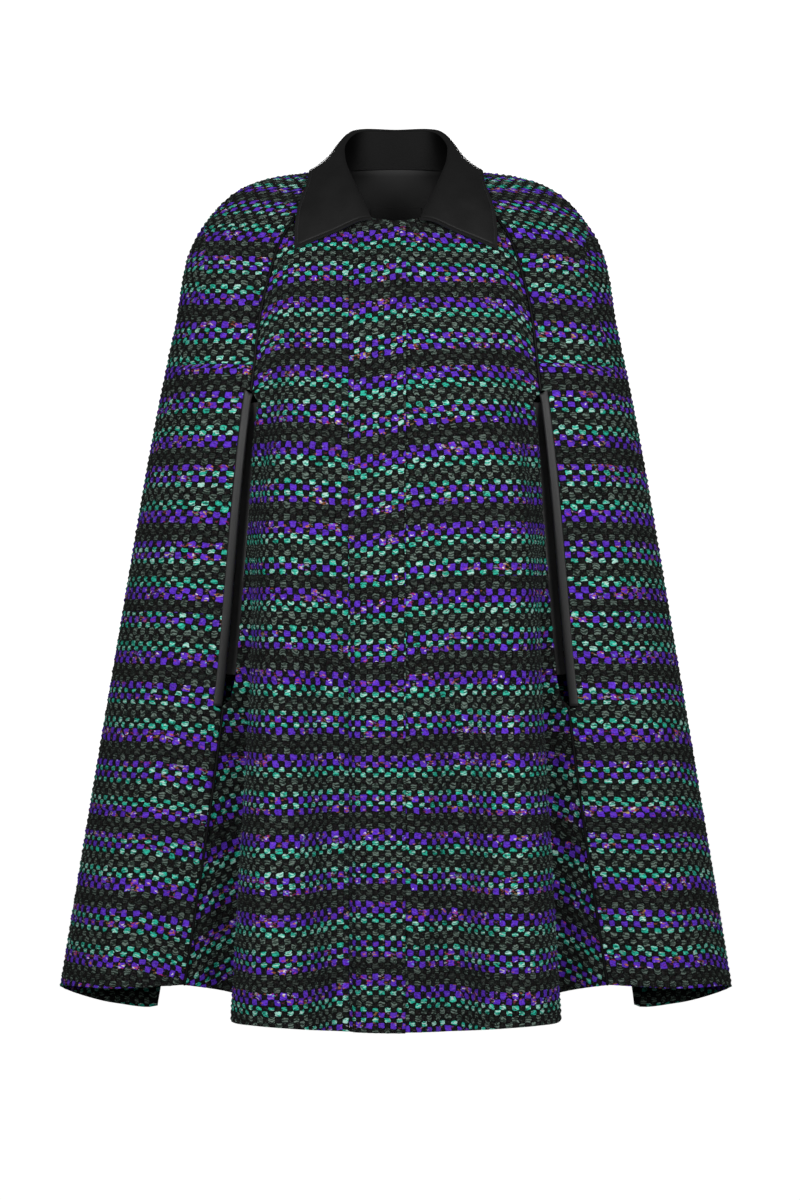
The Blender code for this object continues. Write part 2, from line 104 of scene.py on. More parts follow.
# Each yarn: colour and colour of its streaks, which are paler strands and on the teal a painted highlight;
# half width, half height and roundness of its floats, in cells; and how far it is purple, teal and streaked
YARNS = {
    "P": {"colour": (0.092, 0.024, 0.480), "streak": (0.17, 0.07, 0.64),
          "form": (0.56, 0.54, 0.35), "kind": (1.0, 0.0, 0.30)},
    "T": {"colour": (0.018, 0.410, 0.290), "streak": (0.62, 0.88, 0.80),
          "form": (0.64, 0.50, 0.90), "kind": (0.0, 1.0, 0.65)},
    "G": {"colour": (0.022, 0.036, 0.029), "streak": (0.150, 0.205, 0.176),
          "form": (0.60, 0.54, 0.80), "kind": (0.0, 0.0, 0.90)},
    "N": {"colour": (0.017, 0.027, 0.022), "streak": (0.120, 0.162, 0.140),
          "form": (0.58, 0.56, 0.75), "kind": (0.0, 0.0, 0.85)},
    "K": {"colour": (0.012, 0.016, 0.014), "streak": (0.060, 0.075, 0.066),
          "form": (0.56, 0.54, 0.75), "kind": (0.0, 0.0, 0.70)},
}
# Bright hairs spun into the purple yarn: where each colour starts among them, and the colour
FLECKS = (
    (0.0, (0.38, 0.03, 0.15)), (0.22, (0.46, 0.14, 0.05)), (0.44, (0.44, 0.32, 0.13)),
    (0.54, (0.66, 0.60, 0.70)), (0.70, (0.17, 0.44, 0.52)), (0.80, (0.26, 0.08, 0.60)),
)
BLACK_END = (0.0058, 0.0052, 0.0050)
# Painted shade in the gaps between the yarns
SHADE_BETWEEN_YARNS = (0.0010, 0.0010, 0.0012)
STRAY_HAIR = (0.085, 0.088, 0.082)
STRAY_RATE = (0.60, 0.72)
STRAY_SHARE = 0.55
# How the yarns wander over the cloth: the scale of the waves, how far they go across and down, in cells,
# and how far apart the two sets of waves are read
WANDER = {"scale": 0.9, "across": 0.70, "down": 0.75, "apart": 31.0}
# How far single floats bend, bow, lean and differ in width and height, in cells
FLOATS_VARY = {"bend": 1.8, "bow": 0.25, "lean": 0.40, "width": 0.16, "height": 0.14}
# Where the floats of picks and of ends fade out, in their own measure, and the form of an end's float
FLOAT_EDGE = (0.60, 1.15)
END_EDGE = (0.4, 1.2)
END_FORM = {"half_width": 0.45, "half_height": 0.52, "power": 4.0}
# Marks on the yarns for a cell, across and down: pale strands, which on the teal are a painted highlight,
# dark fissures and a fine unevenness
STRANDS = (1.1, 4.6)
FISSURES = (1.6, 5.2)
FINE_MARKS = (3.4, 5.6)
# Where flecks gather, how much more often they come there, and the share of hairs that are flecks
FLECK_CLUSTERS = (0.49, 0.66)
CLUSTER_GAIN = 0.32
FLECK_RATE = (0.93, 1.00)
# How much of the black ends takes a tint, and how strong it is
DYE_SHARE = 0.60
DYE_TONE = 0.013
BUMP_HEIGHTS = {"weft": 0.8, "warp": 0.35, "fine": 0.25, "strands": 0.4}
# One repeat of the cloth, just before the mark that picks are counted from, lacks two of its dark picks
SHORT_END = -2
SHORT_SHIFT = 2
WHOLE_REPEATS = 20 * len(STRIPES)


def smooth_curve(points, at):
    """Points of a smooth curve through points, read at positions counted in points from the first."""
    points = np.asarray(points, float)
    at = np.atleast_1d(np.asarray(at, float))
    spans = np.linalg.norm(np.diff(points, axis=0), axis=1)[:, None]
    slopes = np.diff(points, axis=0) / spans
    tangents = np.empty_like(points)
    tangents[1:-1] = (spans[1:] * slopes[:-1] + spans[:-1] * slopes[1:]) / (spans[1:] + spans[:-1])
    tangents[0] = 1.5 * slopes[0] - 0.5 * tangents[1]
    tangents[-1] = 1.5 * slopes[-1] - 0.5 * tangents[-2]
    cell = np.clip(np.floor(at).astype(int), 0, len(points) - 2)
    part = (at - cell)[:, None]
    span = spans[cell]
    return (
        (2 * part**3 - 3 * part**2 + 1) * points[cell]
        + (part**3 - 2 * part**2 + part) * span * tangents[cell]
        + (3 * part**2 - 2 * part**3) * points[cell + 1]
        + (part**3 - part**2) * span * tangents[cell + 1]
    )


def ease(value):
    """0 to 1 with a soft start and end."""
    value = np.clip(value, 0.0, 1.0)
    return value * value * (3.0 - 2.0 * value)


def slit_open(level, span=SLIT_EASE):
    return ease((level - SLIT_TOP) / span) * ease((SLIT_BOTTOM - level) / span)


def crease_rise(points):
    """How far the creases of the fronts stand out, from nothing at their tops to the most at the hem."""
    x, z = points[..., 0], points[..., 2]
    rise = np.zeros(x.shape)
    for crease in FRONT_CREASES:
        part = np.clip((crease["top"] - z) / (crease["top"] - CREASE_FOOT), 0.0, 1.0)
        middle = crease["x"][0] + (crease["x"][1] - crease["x"][0]) * part
        across = np.exp(-(((x - middle) / crease["width"]) ** 2))
        rise += crease["rise"] * ease(part * CREASE_GROWTH) * across
    return rise


def ring_at(lines, level):
    """Stations round one level of the fronts, or of the sides and back, from the right seam to the left."""
    half = np.array([smooth_curve(cells, level)[0] for cells in lines.values()])
    if lines is FRONT_LINES:
        half[0, 0] += SLIT_EDGE_SHIFT[0] * slit_open(level)
        half[0, 1] += SLIT_EDGE_SHIFT[1] * slit_open(level, SLIT_DEPTH_EASE)
    return np.concatenate((half * (-1, 1, 1), half[-2::-1]))


def along(ring, start, distance):
    """The position on the ring that lies a distance along it from start."""
    trial = TRIAL_STEP if distance > 0 else -TRIAL_STEP
    two = smooth_curve(ring, (start, start + trial))
    guess = start + trial * abs(distance) / np.linalg.norm(two[1] - two[0])
    steps = smooth_curve(ring, np.linspace(start, guess, WALK_POINTS))
    length = np.linalg.norm(np.diff(steps, axis=0), axis=1).sum()
    return start + (guess - start) * abs(distance) / length


def at_x(ring, x):
    """The position on the front ring where it crosses x."""
    search = np.linspace(*FRONT_SEARCH)
    return float(np.interp(x, smooth_curve(ring, search)[:, 0], search))


def past_ends(x, known, values):
    """np.interp that runs on in a straight line past both ends."""
    read = np.interp(x, known, values)
    first = (values[1] - values[0]) / max(known[1] - known[0], 1e-9)
    last = (values[-1] - values[-2]) / max(known[-1] - known[-2], 1e-9)
    read = np.where(x < known[0], values[0] + (x - known[0]) * first, read)
    return np.where(x > known[-1], values[-1] + (x - known[-1]) * last, read)


def unit(vectors):
    return vectors / np.linalg.norm(vectors, axis=-1, keepdims=True)


def lengths_along(points, axis):
    """Distances along the rows or columns of a grid from its first points."""
    steps = np.linalg.norm(np.diff(points, axis=axis), axis=2)
    return np.insert(np.cumsum(steps, axis=axis), 0, 0.0, axis=axis)


class Form:
    """Points and outward normals closely over one panel: rows down it, columns from edge to edge."""

    def __init__(self, lines, start, end, columns, top=NECK, raise_by=None):
        stops = [top, *ROWS_TO]
        rows = [np.linspace(above, below, ROWS_TO[below])[:-1] for above, below in zip(stops, stops[1:])]
        self.levels = np.concatenate((*rows, [HEM]))
        self.across = np.linspace(0.0, 1.0, columns)
        points = []
        for level in self.levels:
            ring = ring_at(lines, level)
            first = start(ring, level)
            points.append(smooth_curve(ring, first + (end(ring, level) - first) * self.across))
        self.points = np.array(points)
        if lines is FRONT_LINES:
            rise = crease_rise(self.points)
            height = self.points[..., 2]
            part = np.clip((CREASE_DROP_TOP - height) / (CREASE_DROP_TOP - CREASE_FOOT), 0.0, 1.0)
            self.points[..., 1] -= rise
            self.points[..., 2] += rise * CREASE_DROP * part
        turn = -1.0 if lines is FRONT_LINES else 1.0
        slopes = np.cross(np.gradient(self.points, axis=1), np.gradient(self.points, axis=0))
        self.normals = unit(slopes) * turn
        if raise_by:
            self.points = self.points + self.normals * raise_by(self.points[:, :, 0])[:, :, None]

    def read(self, table, level, across):
        """Values of a table of the form at levels and places across it."""
        row = np.interp(level, self.levels, np.arange(len(self.levels)))
        column = np.clip(across, 0.0, 1.0) * (len(self.across) - 1)
        row_cell = np.minimum(row.astype(int), len(self.levels) - 2)
        column_cell = np.minimum(column.astype(int), len(self.across) - 2)
        down = (row - row_cell)[..., None]
        side = (column - column_cell)[..., None]
        upper = table[row_cell, column_cell] * (1 - side) + table[row_cell, column_cell + 1] * side
        lower = table[row_cell + 1, column_cell] * (1 - side) + table[row_cell + 1, column_cell + 1] * side
        return upper * (1 - down) + lower * down


def chart_row(pick):
    """The row of the chart for a pick counted from the mark, whole repeats included."""
    return pick + WHOLE_REPEATS - np.where(pick < SHORT_END, SHORT_SHIFT, 0)


def count_picks(distance):
    """Picks within a distance from the mark, thick and thin ones as they come."""
    picks = np.arange(-WHOLE_REPEATS // 2, WHOLE_REPEATS // 2 + 1)
    widths = [PICK_WIDTHS[STRIPES[row % len(STRIPES)]] for row in chart_row(picks[:-1])]
    edges = np.concatenate(([0.0], np.cumsum(widths)))
    return np.interp(distance, edges - edges[WHOLE_REPEATS // 2], picks)


def lay_yarns(form, end_pitch, grain, mark, runs_up, dip, own_above):
    """Where each half pick crosses each half end: counts of ends and picks, and places on the form.

    Picks lie level, apart from dip, spaced by the cloth's length down the grain column, and above the level
    own_above by each column's own length. They are counted from the height mark, upwards where runs_up.
    """
    points = form.points
    lengths = lengths_along(points, 0)
    grain_column = int(round(grain * (len(form.across) - 1)))
    depth = -points[:, grain_column, 2]
    down = past_ends(-(points[:, :, 2] + dip(points)), depth, lengths[:, grain_column])
    turn = int(np.searchsorted(form.levels, own_above))
    down[:turn] = down[turn] - (lengths[turn] - lengths[:turn])
    below_mark = down - past_ends(-mark, depth, lengths[:, grain_column])
    picks = count_picks(-below_mark if runs_up else below_mark)
    counts = np.arange(np.floor(picks.min() * 2) - 1, np.ceil(picks.max() * 2) + 2)
    order = -1 if runs_up else 1
    level = np.array([past_ends(counts / 2, column[::order], form.levels[::order]) for column in picks.T]).T
    places = form.read(points, level, np.broadcast_to(form.across, level.shape))
    ends = lengths_along(places, 1)
    ends = (ends - ends[:, grain_column][:, None]) / end_pitch
    threads = np.arange(np.floor(ends.min() * 2) - 1, np.ceil(ends.max() * 2) + 2)
    across = np.array([past_ends(threads / 2, row, form.across) for row in ends])
    level = np.array([np.interp(places, form.across, row) for places, row in zip(across, level)])
    return threads, counts, across, level


def snap(values, edge, step):
    """Moves values that lie within a third of a step from an edge onto it."""
    return np.where(np.abs(values - edge) < np.abs(step) / 3, edge, values)


def clip_cell(corners, across, level, top, cuts):
    """One cell of the weave cut to the panel's edges. New corners are shared through cuts."""
    bounds = (("across", 0.0, 1), ("across", 1.0, -1), ("level", top, 1), ("level", HEM, -1))
    for axis, edge, sign in bounds:
        places = across if axis == "across" else level
        kept = []
        for here, there in zip(corners, corners[1:] + corners[:1]):
            depth = sign * (places[here] - edge)
            depth_there = sign * (places[there] - edge)
            if depth >= 0:
                kept.append(here)
            if depth * depth_there < 0:
                key = (min(here, there), max(here, there), axis, edge)
                if key not in cuts:
                    low, high = key[:2]
                    share = (edge - places[low]) / (places[high] - places[low])
                    cuts[key] = len(across)
                    across.append(across[low] + (across[high] - across[low]) * share)
                    level.append(level[low] + (level[high] - level[low]) * share)
                    places[-1] = edge
                    cuts["from"].append((low, high, share))
                kept.append(cuts[key])
        corners = kept
        if len(corners) < 3:
            return []
    return corners


def grid_quads(place):
    """The four corners of each cell of a grid of point numbers."""
    return np.stack((place[:-1, :-1], place[:-1, 1:], place[1:, 1:], place[1:, :-1]), axis=-1).reshape(-1, 4)


def weave_faces(across, level, top, step):
    """Faces of the panel's weave, step half yarns wide and cut to its edges, and the new corners' sources."""
    rows, columns = across.shape
    place = np.arange(rows * columns).reshape(rows, columns)
    quads = grid_quads(place[::step, ::step])
    s, t = across.ravel()[quads], level.ravel()[quads]
    inside = (s.min(1) >= 0) & (s.max(1) <= 1) & (t.min(1) >= top) & (t.max(1) <= HEM)
    reaches = (s.max(1) > 0) & (s.min(1) < 1) & (t.max(1) > top) & (t.min(1) < HEM)
    faces = quads[inside].tolist()
    flat_across, flat_level = across.ravel().tolist(), level.ravel().tolist()
    cuts = {"from": []}
    for corners in quads[reaches & ~inside].tolist():
        cell = clip_cell(corners, flat_across, flat_level, top, cuts)
        if cell:
            faces.append(cell)
    return faces, np.array(flat_across), np.array(flat_level), cuts["from"]


def with_cuts(values, sources):
    """Values of the first corners with those of the cut ones after them."""
    values = values.ravel().tolist()
    for low, high, share in sources:
        values.append(values[low] + (values[high] - values[low]) * share)
    return np.array(values)


def zip_edges(first, second):
    """Triangles between two rows of (position, corner), both in order."""
    faces = []
    here, there = 0, 0
    while here < len(first) - 1 or there < len(second) - 1:
        step_first = there == len(second) - 1
        if not step_first and here < len(first) - 1:
            step_first = first[here + 1][0] <= second[there + 1][0]
        if step_first:
            faces.append([first[here][1], first[here + 1][1], second[there][1]])
            here += 1
        else:
            faces.append([first[here][1], second[there + 1][1], second[there][1]])
            there += 1
    return faces


def edge_row(faces, across, level, axis, edge, start):
    """The corners of faces that lie on one edge of the panel, in order along it."""
    corners = sorted({corner for face in faces for corner in face})
    along_edge, beside = (level, across) if axis == "across" else (across, level)
    return sorted((along_edge[corner], corner + start) for corner in corners if beside[corner] == edge)


# Heights of the yarns over the cloth's form, in mm, and how uneven they are
RELIEF = {"weft": 0.85, "warp": 0.15, "between_ends": -0.30, "between_picks": -0.45, "corner": -0.85}
RELIEF_UNEVEN = 0.16
# Ends between the stretches of cloth that two panels are cut from, so that their yarns differ
PANEL_SHIFT = 40
CLOTH_SHARP = 70.0
PIECE_SHARP = 60.0


def yarn_relief(threads, counts, seed):
    """Height of the yarns over the cloth at each half end and half pick, a little uneven."""
    thread, count = np.meshgrid(threads.astype(int), counts.astype(int))
    weft_on_top = (thread // 2 + count // 2) % 2 == 0
    crown = np.where(weft_on_top, RELIEF["weft"], RELIEF["warp"])
    odd_thread, odd_count = thread % 2 == 1, count % 2 == 1
    height = np.where(odd_thread & odd_count, crown, RELIEF["corner"])
    height = np.where(odd_thread & ~odd_count, RELIEF["between_picks"], height)
    height = np.where(~odd_thread & odd_count, RELIEF["between_ends"], height)
    return height + np.random.default_rng(seed).normal(0.0, RELIEF_UNEVEN, height.shape)


def flat_dip(points):
    return np.zeros(points.shape[:2])


def place_piece(name, mesh, sharp):
    """Turns a mesh's faces outward, smooths it up to an angle in degrees, and adds it as a piece."""
    bm = bmesh.new()
    bm.from_mesh(mesh)
    bmesh.ops.recalc_face_normals(bm, faces=bm.faces)
    bm.to_mesh(mesh)
    bm.free()
    mesh.shade_smooth()
    mesh.set_sharp_from_angle(angle=np.radians(sharp))
    piece = bpy.data.objects.new(name, mesh)
    bpy.context.collection.objects.link(piece)
    return piece


def cloth_panel(name, form, end_pitch, grain, mark, runs_up=False, dip=flat_dip, own_above=NECK, seed=0):
    """One panel of tweed as a wall of cloth: yarns in relief outside, and cell by cell plainer inside."""
    threads, counts, across, level = lay_yarns(form, end_pitch, grain, mark, runs_up, dip, own_above)
    top = float(form.levels[0])
    side_step = np.gradient(across, axis=1)
    down_step = np.gradient(level, axis=0)
    across = snap(snap(across, 0.0, side_step), 1.0, side_step)
    level = snap(snap(level, top, down_step), HEM, down_step)
    thread, count = np.meshgrid(threads / 2, counts / 2)
    relief = yarn_relief(threads, counts, seed)
    outer, outer_across, outer_level, outer_cuts = weave_faces(across, level, top, 1)
    inner, inner_across, inner_level, inner_cuts = weave_faces(across, level, top, 2)

    def place(flat_across, flat_level, height):
        points = form.read(form.points, flat_level, flat_across)
        normals = unit(form.read(form.normals, flat_level, flat_across))
        return points + normals * height[:, None]

    outside = place(outer_across, outer_level, with_cuts(relief, outer_cuts))
    inside = place(inner_across, inner_level, np.full(len(inner_across), -CLOTH_WALL))
    start = len(outside)
    faces = outer + [[corner + start for corner in face[::-1]] for face in inner]
    for axis, edge in (("across", 0.0), ("across", 1.0), ("level", top), ("level", HEM)):
        first = edge_row(outer, outer_across, outer_level, axis, edge, 0)
        second = edge_row(inner, inner_across, inner_level, axis, edge, start)
        faces += zip_edges(first, second)
    thread = np.concatenate((with_cuts(thread, outer_cuts), with_cuts(thread, inner_cuts)))
    count = np.concatenate((with_cuts(count, outer_cuts), with_cuts(count, inner_cuts)))
    used = np.unique(np.concatenate(faces))
    renumber = np.zeros(len(thread), int)
    renumber[used] = np.arange(len(used))
    faces = [renumber[face].tolist() for face in faces]
    mesh = bpy.data.meshes.new(name)
    mesh.from_pydata((np.concatenate((outside, inside))[used] * MM).tolist(), [], faces)
    thread, count = thread[used], count[used]
    row = np.array([np.floor(count[face].mean()) for face in faces])
    lengths = np.array([len(face) for face in faces])
    row = np.repeat(row, lengths)
    corners = np.concatenate(faces)
    chart = count[corners] - row + chart_row(row)
    weave = mesh.uv_layers.new(name="weave")
    weave.data.foreach_set("uv", np.stack((thread[corners] + PANEL_SHIFT * seed, chart), axis=1).ravel())
    return place_piece(name + "_cloth", mesh, CLOTH_SHARP)


class Value:
    """The output of a shader node, so that shader maths reads as Python."""

    def __init__(self, finish, socket):
        self.finish = finish
        self.socket = socket

    def math(self, operation, first, second=0.0):
        return self.finish.node("ShaderNodeMath", {"operation": operation}, {0: first, 1: second})

    def __add__(self, other):
        return self.math("ADD", self, other)

    def __radd__(self, other):
        return self.math("ADD", other, self)

    def __sub__(self, other):
        return self.math("SUBTRACT", self, other)

    def __rsub__(self, other):
        return self.math("SUBTRACT", other, self)

    def __mul__(self, other):
        return self.math("MULTIPLY", self, other)

    def __rmul__(self, other):
        return self.math("MULTIPLY", other, self)

    def __truediv__(self, other):
        return self.math("DIVIDE", self, other)

    def __mod__(self, other):
        return self.math("FLOORED_MODULO", self, other)

    def __pow__(self, other):
        return self.math("POWER", self, other)

    def __abs__(self):
        return self.math("ABSOLUTE", self)

    def floor(self):
        return self.math("FLOOR", self)


class Finish:
    """A material under way: one method adds any node, settings first and then its sockets."""

    def __init__(self, name):
        self.material = bpy.data.materials.new(name)
        self.material.use_nodes = True
        self.tree = self.material.node_tree
        self.tree.nodes.clear()

    def node(self, kind, settings, sockets, output=0):
        made = self.tree.nodes.new(kind)
        for setting, value in settings.items():
            if setting == "stops":
                stops = made.color_ramp.elements
                while len(stops) < len(value):
                    stops.new(1.0)
                for stop, (position, colour) in zip(stops, value):
                    stop.position = position
                    stop.color = (*colour, 1.0)
            elif setting == "interpolation":
                made.color_ramp.interpolation = value
            else:
                setattr(made, setting, value)
        for socket, value in sockets.items():
            if isinstance(value, Value):
                self.tree.links.new(value.socket, made.inputs[socket])
            else:
                made.inputs[socket].default_value = value
        return Value(self, made.outputs[output]) if made.outputs else None

    def mix(self, share, first, second, blend="MIX"):
        settings = {"data_type": "RGBA", "blend_type": blend}
        return self.node("ShaderNodeMix", settings, {0: share, 6: first, 7: second}, 2)

    def step(self, value, low, high):
        """0 below low and 1 above high, softly between."""
        settings = {"interpolation_type": "SMOOTHSTEP"}
        sockets = {"Value": value, "From Min": low, "From Max": high}
        return self.node("ShaderNodeMapRange", settings, sockets)

    def vector(self, x, y, z=0.0):
        return self.node("ShaderNodeCombineXYZ", {}, {0: x, 1: y, 2: z})

    def noise(self, vector, scale, detail=2.0):
        return self.node("ShaderNodeTexNoise", {}, {"Vector": vector, "Scale": scale, "Detail": detail})

    def surface(self, sockets):
        shader = self.node("ShaderNodeBsdfPrincipled", {}, sockets)
        self.node("ShaderNodeOutputMaterial", {}, {"Surface": shader})
        return self.material


def colour(rgb):
    return (*rgb, 1.0)


def tweed():
    """Picks of coloured yarn over black ends: purple floats square and matte with bright flecks, teal ones
    long and glossy with painted highlights along them, slate ones coiled, each with its own size and tone,
    and painted shade towards the edges of each float."""
    finish = Finish("tweed")
    rows = len(STRIPES)
    weave = finish.node("ShaderNodeUVMap", {"uv_map": "weave"}, {})
    u = finish.node("ShaderNodeSeparateXYZ", {}, {0: weave}, 0)
    v = finish.node("ShaderNodeSeparateXYZ", {}, {0: weave}, 1)
    sway = finish.noise(weave, WANDER["scale"])
    sag = finish.noise(finish.vector(u + WANDER["apart"], v), WANDER["scale"])
    u = u + (sway - 0.5) * WANDER["across"]
    v = v + (sag - 0.5) * WANDER["down"]
    end, pick = u.floor(), v.floor()
    beside, above = u - end - 0.5, v - pick - 0.5
    warp_up = (end + pick) % 2.0
    cell = finish.vector(end, pick)
    chance = finish.node("ShaderNodeTexWhiteNoise", {"noise_dimensions": "3D"}, {"Vector": cell})
    chances = finish.node("ShaderNodeTexWhiteNoise", {"noise_dimensions": "3D"}, {"Vector": cell}, 1)

    def part(values, channel):
        return finish.node("ShaderNodeSeparateColor", {}, {0: values}, channel)

    def times(tone, factor):
        return finish.mix(1.0, tone, finish.vector(factor, factor, factor), "MULTIPLY")

    other, third = part(chances, 1), part(chances, 2)
    row = ((pick % float(rows)) + 0.5) / float(rows)

    def chart(values):
        stops = [(place / rows, values[yarn]) for place, yarn in enumerate(STRIPES)]
        return finish.node("ShaderNodeValToRGB", {"stops": stops, "interpolation": "CONSTANT"}, {0: row})

    fields = ("colour", "streak", "form", "kind")
    tables = ({name: made[field] for name, made in YARNS.items()} for field in fields)
    yarn, streak, form, kinds = (chart(table) for table in tables)
    half_width, half_height, roundness = (part(form, channel) for channel in range(3))
    purple, teal, streaked = (part(kinds, channel) for channel in range(3))

    def cloud(across, down, layer, detail):
        return finish.noise(finish.vector(across, down, layer), 1.0, detail)

    bend = beside * beside * (other - 0.5) * FLOATS_VARY["bend"]
    across, down = STRANDS
    strands = cloud(u * across, v * down + bend * down, third * 9.0, 1.0)
    across, down = FISSURES
    fissure = cloud(u * across, v * down + bend * down, third * 5.0 + 20.0, 2.0)
    across, down = FINE_MARKS
    fine = cloud(u * across, v * down, 3.0, 3.0)
    frayed = (finish.noise(finish.vector(u, v, 4.0), 4.0, 3.0) - 0.5) * 1.6
    lean = above + beside * (other - 0.5) * FLOATS_VARY["lean"] * teal + bend * FLOATS_VARY["bow"]
    width = half_width + (chance - 0.5) * FLOATS_VARY["width"]
    height = half_height + (third - 0.5) * FLOATS_VARY["height"]
    power = 2.0 + (1.0 - roundness) * 4.0
    shape = abs(beside / width) ** power + abs(lean / height) ** power + frayed
    weft_float = (1.0 - finish.step(shape, *FLOAT_EDGE)) * (1.0 - warp_up)
    end_wide, end_high, end_power = END_FORM.values()
    warp_shape = abs(beside / end_wide) ** end_power + abs(above / end_high) ** end_power + frayed
    warp_float = (1.0 - finish.step(warp_shape, *END_EDGE)) * warp_up

    # Each float's tone: random, plus painted shade that darkens it from its middle towards its edges
    shade = 0.72 + chance * 0.40 + (fine - 0.5) * 2.0 + finish.step(shape, 0.7, -0.1) * 0.22
    shade = shade * (1.0 - finish.step(fissure, 0.52, 0.40) * (0.80 - purple * 0.40))
    thread = times(yarn, shade)
    coils = u.math("SINE", (v + bend) * 15.0 + sway * 14.0 + third * 6.0) * (1.0 - teal) * 0.20
    # Paler strands on the yarns; on the teal the pale streaks are a painted highlight
    pale = finish.step(strands + coils + (other - 0.5) * 0.14 + (fine - 0.5) * 0.25, 0.53, 0.63) * streaked
    thread = finish.mix(pale, thread, streak)

    slub = cloud(u * 0.35, v * 0.5 + 7.0, 0.0, 1.0)
    hairs = {"Vector": finish.vector(u * 2.6 + v * 1.2, v * 5.5 - u * 0.9), "Scale": 1.0}
    specks = finish.node("ShaderNodeTexVoronoi", {"voronoi_dimensions": "2D"}, hairs, 1)
    speck, hue = part(specks, 0), part(specks, 2)
    bright = finish.node("ShaderNodeValToRGB", {"stops": FLECKS, "interpolation": "CONSTANT"}, {0: hue})
    cluster = finish.step(slub, *FLECK_CLUSTERS)
    fleck = finish.step(speck + cluster * CLUSTER_GAIN, *FLECK_RATE) * purple
    thread = finish.mix(fleck, thread, bright)

    dye = {"Vector": finish.vector(u, v, 8.0), "Scale": 2.6, "Detail": 2.0}
    tint = finish.node("ShaderNodeTexNoise", {}, dye, 1)
    black = finish.mix(DYE_SHARE, colour(BLACK_END), times(tint, DYE_TONE))
    black = times(black, 0.25 + finish.step(fine, 0.36, 0.66) * 1.7)
    # Where no yarn floats, the gap is painted as shade
    cloth = finish.mix(warp_float, colour(SHADE_BETWEEN_YARNS), black)
    cloth = finish.mix(weft_float, cloth, thread)
    cloth = finish.mix(fleck * (1.0 - weft_float) * 0.45, cloth, bright)
    stray = cloud(u * 2.2 + v * 1.4, v * 5.0 - u * 1.6, 12.0, 2.0)
    cloth = finish.mix(finish.step(stray, *STRAY_RATE) * STRAY_SHARE, cloth, colour(STRAY_HAIR))
    weft, warp, uneven, ridges = BUMP_HEIGHTS.values()
    crown = weft_float * weft + warp_float * warp + fine * uneven + strands * weft_float * ridges
    bump = finish.node("ShaderNodeBump", {}, {"Height": crown, "Strength": 0.8, "Distance": 0.0010})
    return finish.surface({
        "Base Color": cloth,
        "Roughness": 0.95 - teal * weft_float * 0.40,
        "Normal": bump,
        "Specular IOR Level": 0.10,
        "Sheen Weight": 0.02,
        "Sheen Roughness": 0.5,
    })


def finish_piece(piece, material, slot, *nodes):
    """Gives a piece its material and its body, and hides the CAD nodes it stands for. Its slot is not used.
    """
    piece.data.materials.clear()
    piece.data.materials.append(material)
    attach(piece, "root")
    if nodes:
        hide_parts(*nodes)


tweed_cloth = tweed()


# How far the fronts' picks dip, in mm: by height below the neck for each front, near the band, in a hollow
# beside the piped seam at the chest, and towards that seam at the hem
FRONT_DIP_HEIGHTS = (80, 130, 180, 230, 280, 330, 380, 430, 480, 525, 575, 625, 675, 725)
RIGHT_DIPS = (2, -1, -5.5, -7, -4.5, -3, -3, -1, 1, 7, 9.5, 11.5, 13.5, 14)
LEFT_DIPS = (-8, -10, -11.5, -10, -6.5, -4, -5, -1, 1, 5, 7, 9, 10, 10)
BY_BAND = {"heights": (80, 180, 250, 480, 600, 720), "dips": (0, 3, 4, 4, 0, -3), "reach": 60}
CHEST_DIP = {"most": 14.0, "height": -150, "spread": 85, "reach": 48}
HEM_DIP = {"most": 42.0, "top": -500, "run": 330, "reach": 60, "reach_growth": 90}


def edge_share(points, from_first, reach):
    """1 at the panel's first or last edge, down to 0 at a distance from it across the cloth."""
    lengths = lengths_along(points, 1)
    from_edge = lengths if from_first else lengths[:, -1:] - lengths
    return np.clip(1 - from_edge / reach, 0, 1)


def front_dip(points, on_right):
    """How far the fronts' picks dip: unevenly down the coat, and towards the piped seams and the band."""
    x, z = points[..., 0], points[..., 2]
    uneven = np.interp(-z, FRONT_DIP_HEIGHTS, RIGHT_DIPS if on_right else LEFT_DIPS)
    chest = CHEST_DIP["most"] * np.exp(-(((z - CHEST_DIP["height"]) / CHEST_DIP["spread"]) ** 2))
    chest = chest * edge_share(points, on_right, CHEST_DIP["reach"]) ** 2
    foot = ease((HEM_DIP["top"] - z) / HEM_DIP["run"])
    hem_reach = HEM_DIP["reach"] + HEM_DIP["reach_growth"] * foot
    hem = HEM_DIP["most"] * foot * edge_share(points, on_right, hem_reach) ** 1.5
    from_band = np.abs(x - (BAND_SEAM_X if on_right else BAND_EDGE_X))
    by_band = np.interp(-z, BY_BAND["heights"], BY_BAND["dips"])
    return uneven + chest + hem + by_band * np.clip(1 - from_band / BY_BAND["reach"], 0, 1)


BAND_DIP_HEIGHTS = (80, 130, 230, 430, 477, 525, 575, 625, 675, 725, 775, 850)
BAND_DIPS = (-11, -9, -7, -4.5, -0.5, -2.6, -3.6, -6, -9.3, -12.7, -14.5, -20)
BAND_SLOPE = {"heights": (330, 430, 520), "rises": (0.14, 0.05, 0.017)}


def band_dip(points):
    """The band's picks rise towards its free edge, more at the top, and lie closer in its lower half."""
    x, z = points[..., 0], points[..., 2]
    slope = np.interp(-z, BAND_SLOPE["heights"], BAND_SLOPE["rises"])
    middle = (BAND_SEAM_X + BAND_EDGE_X) / 2
    return np.interp(-z, BAND_DIP_HEIGHTS, BAND_DIPS) - slope * (x - middle)


def band_rise(x):
    return BAND_RISE * ease((x - BAND_SEAM_X) / BAND_RISE_WIDTH)


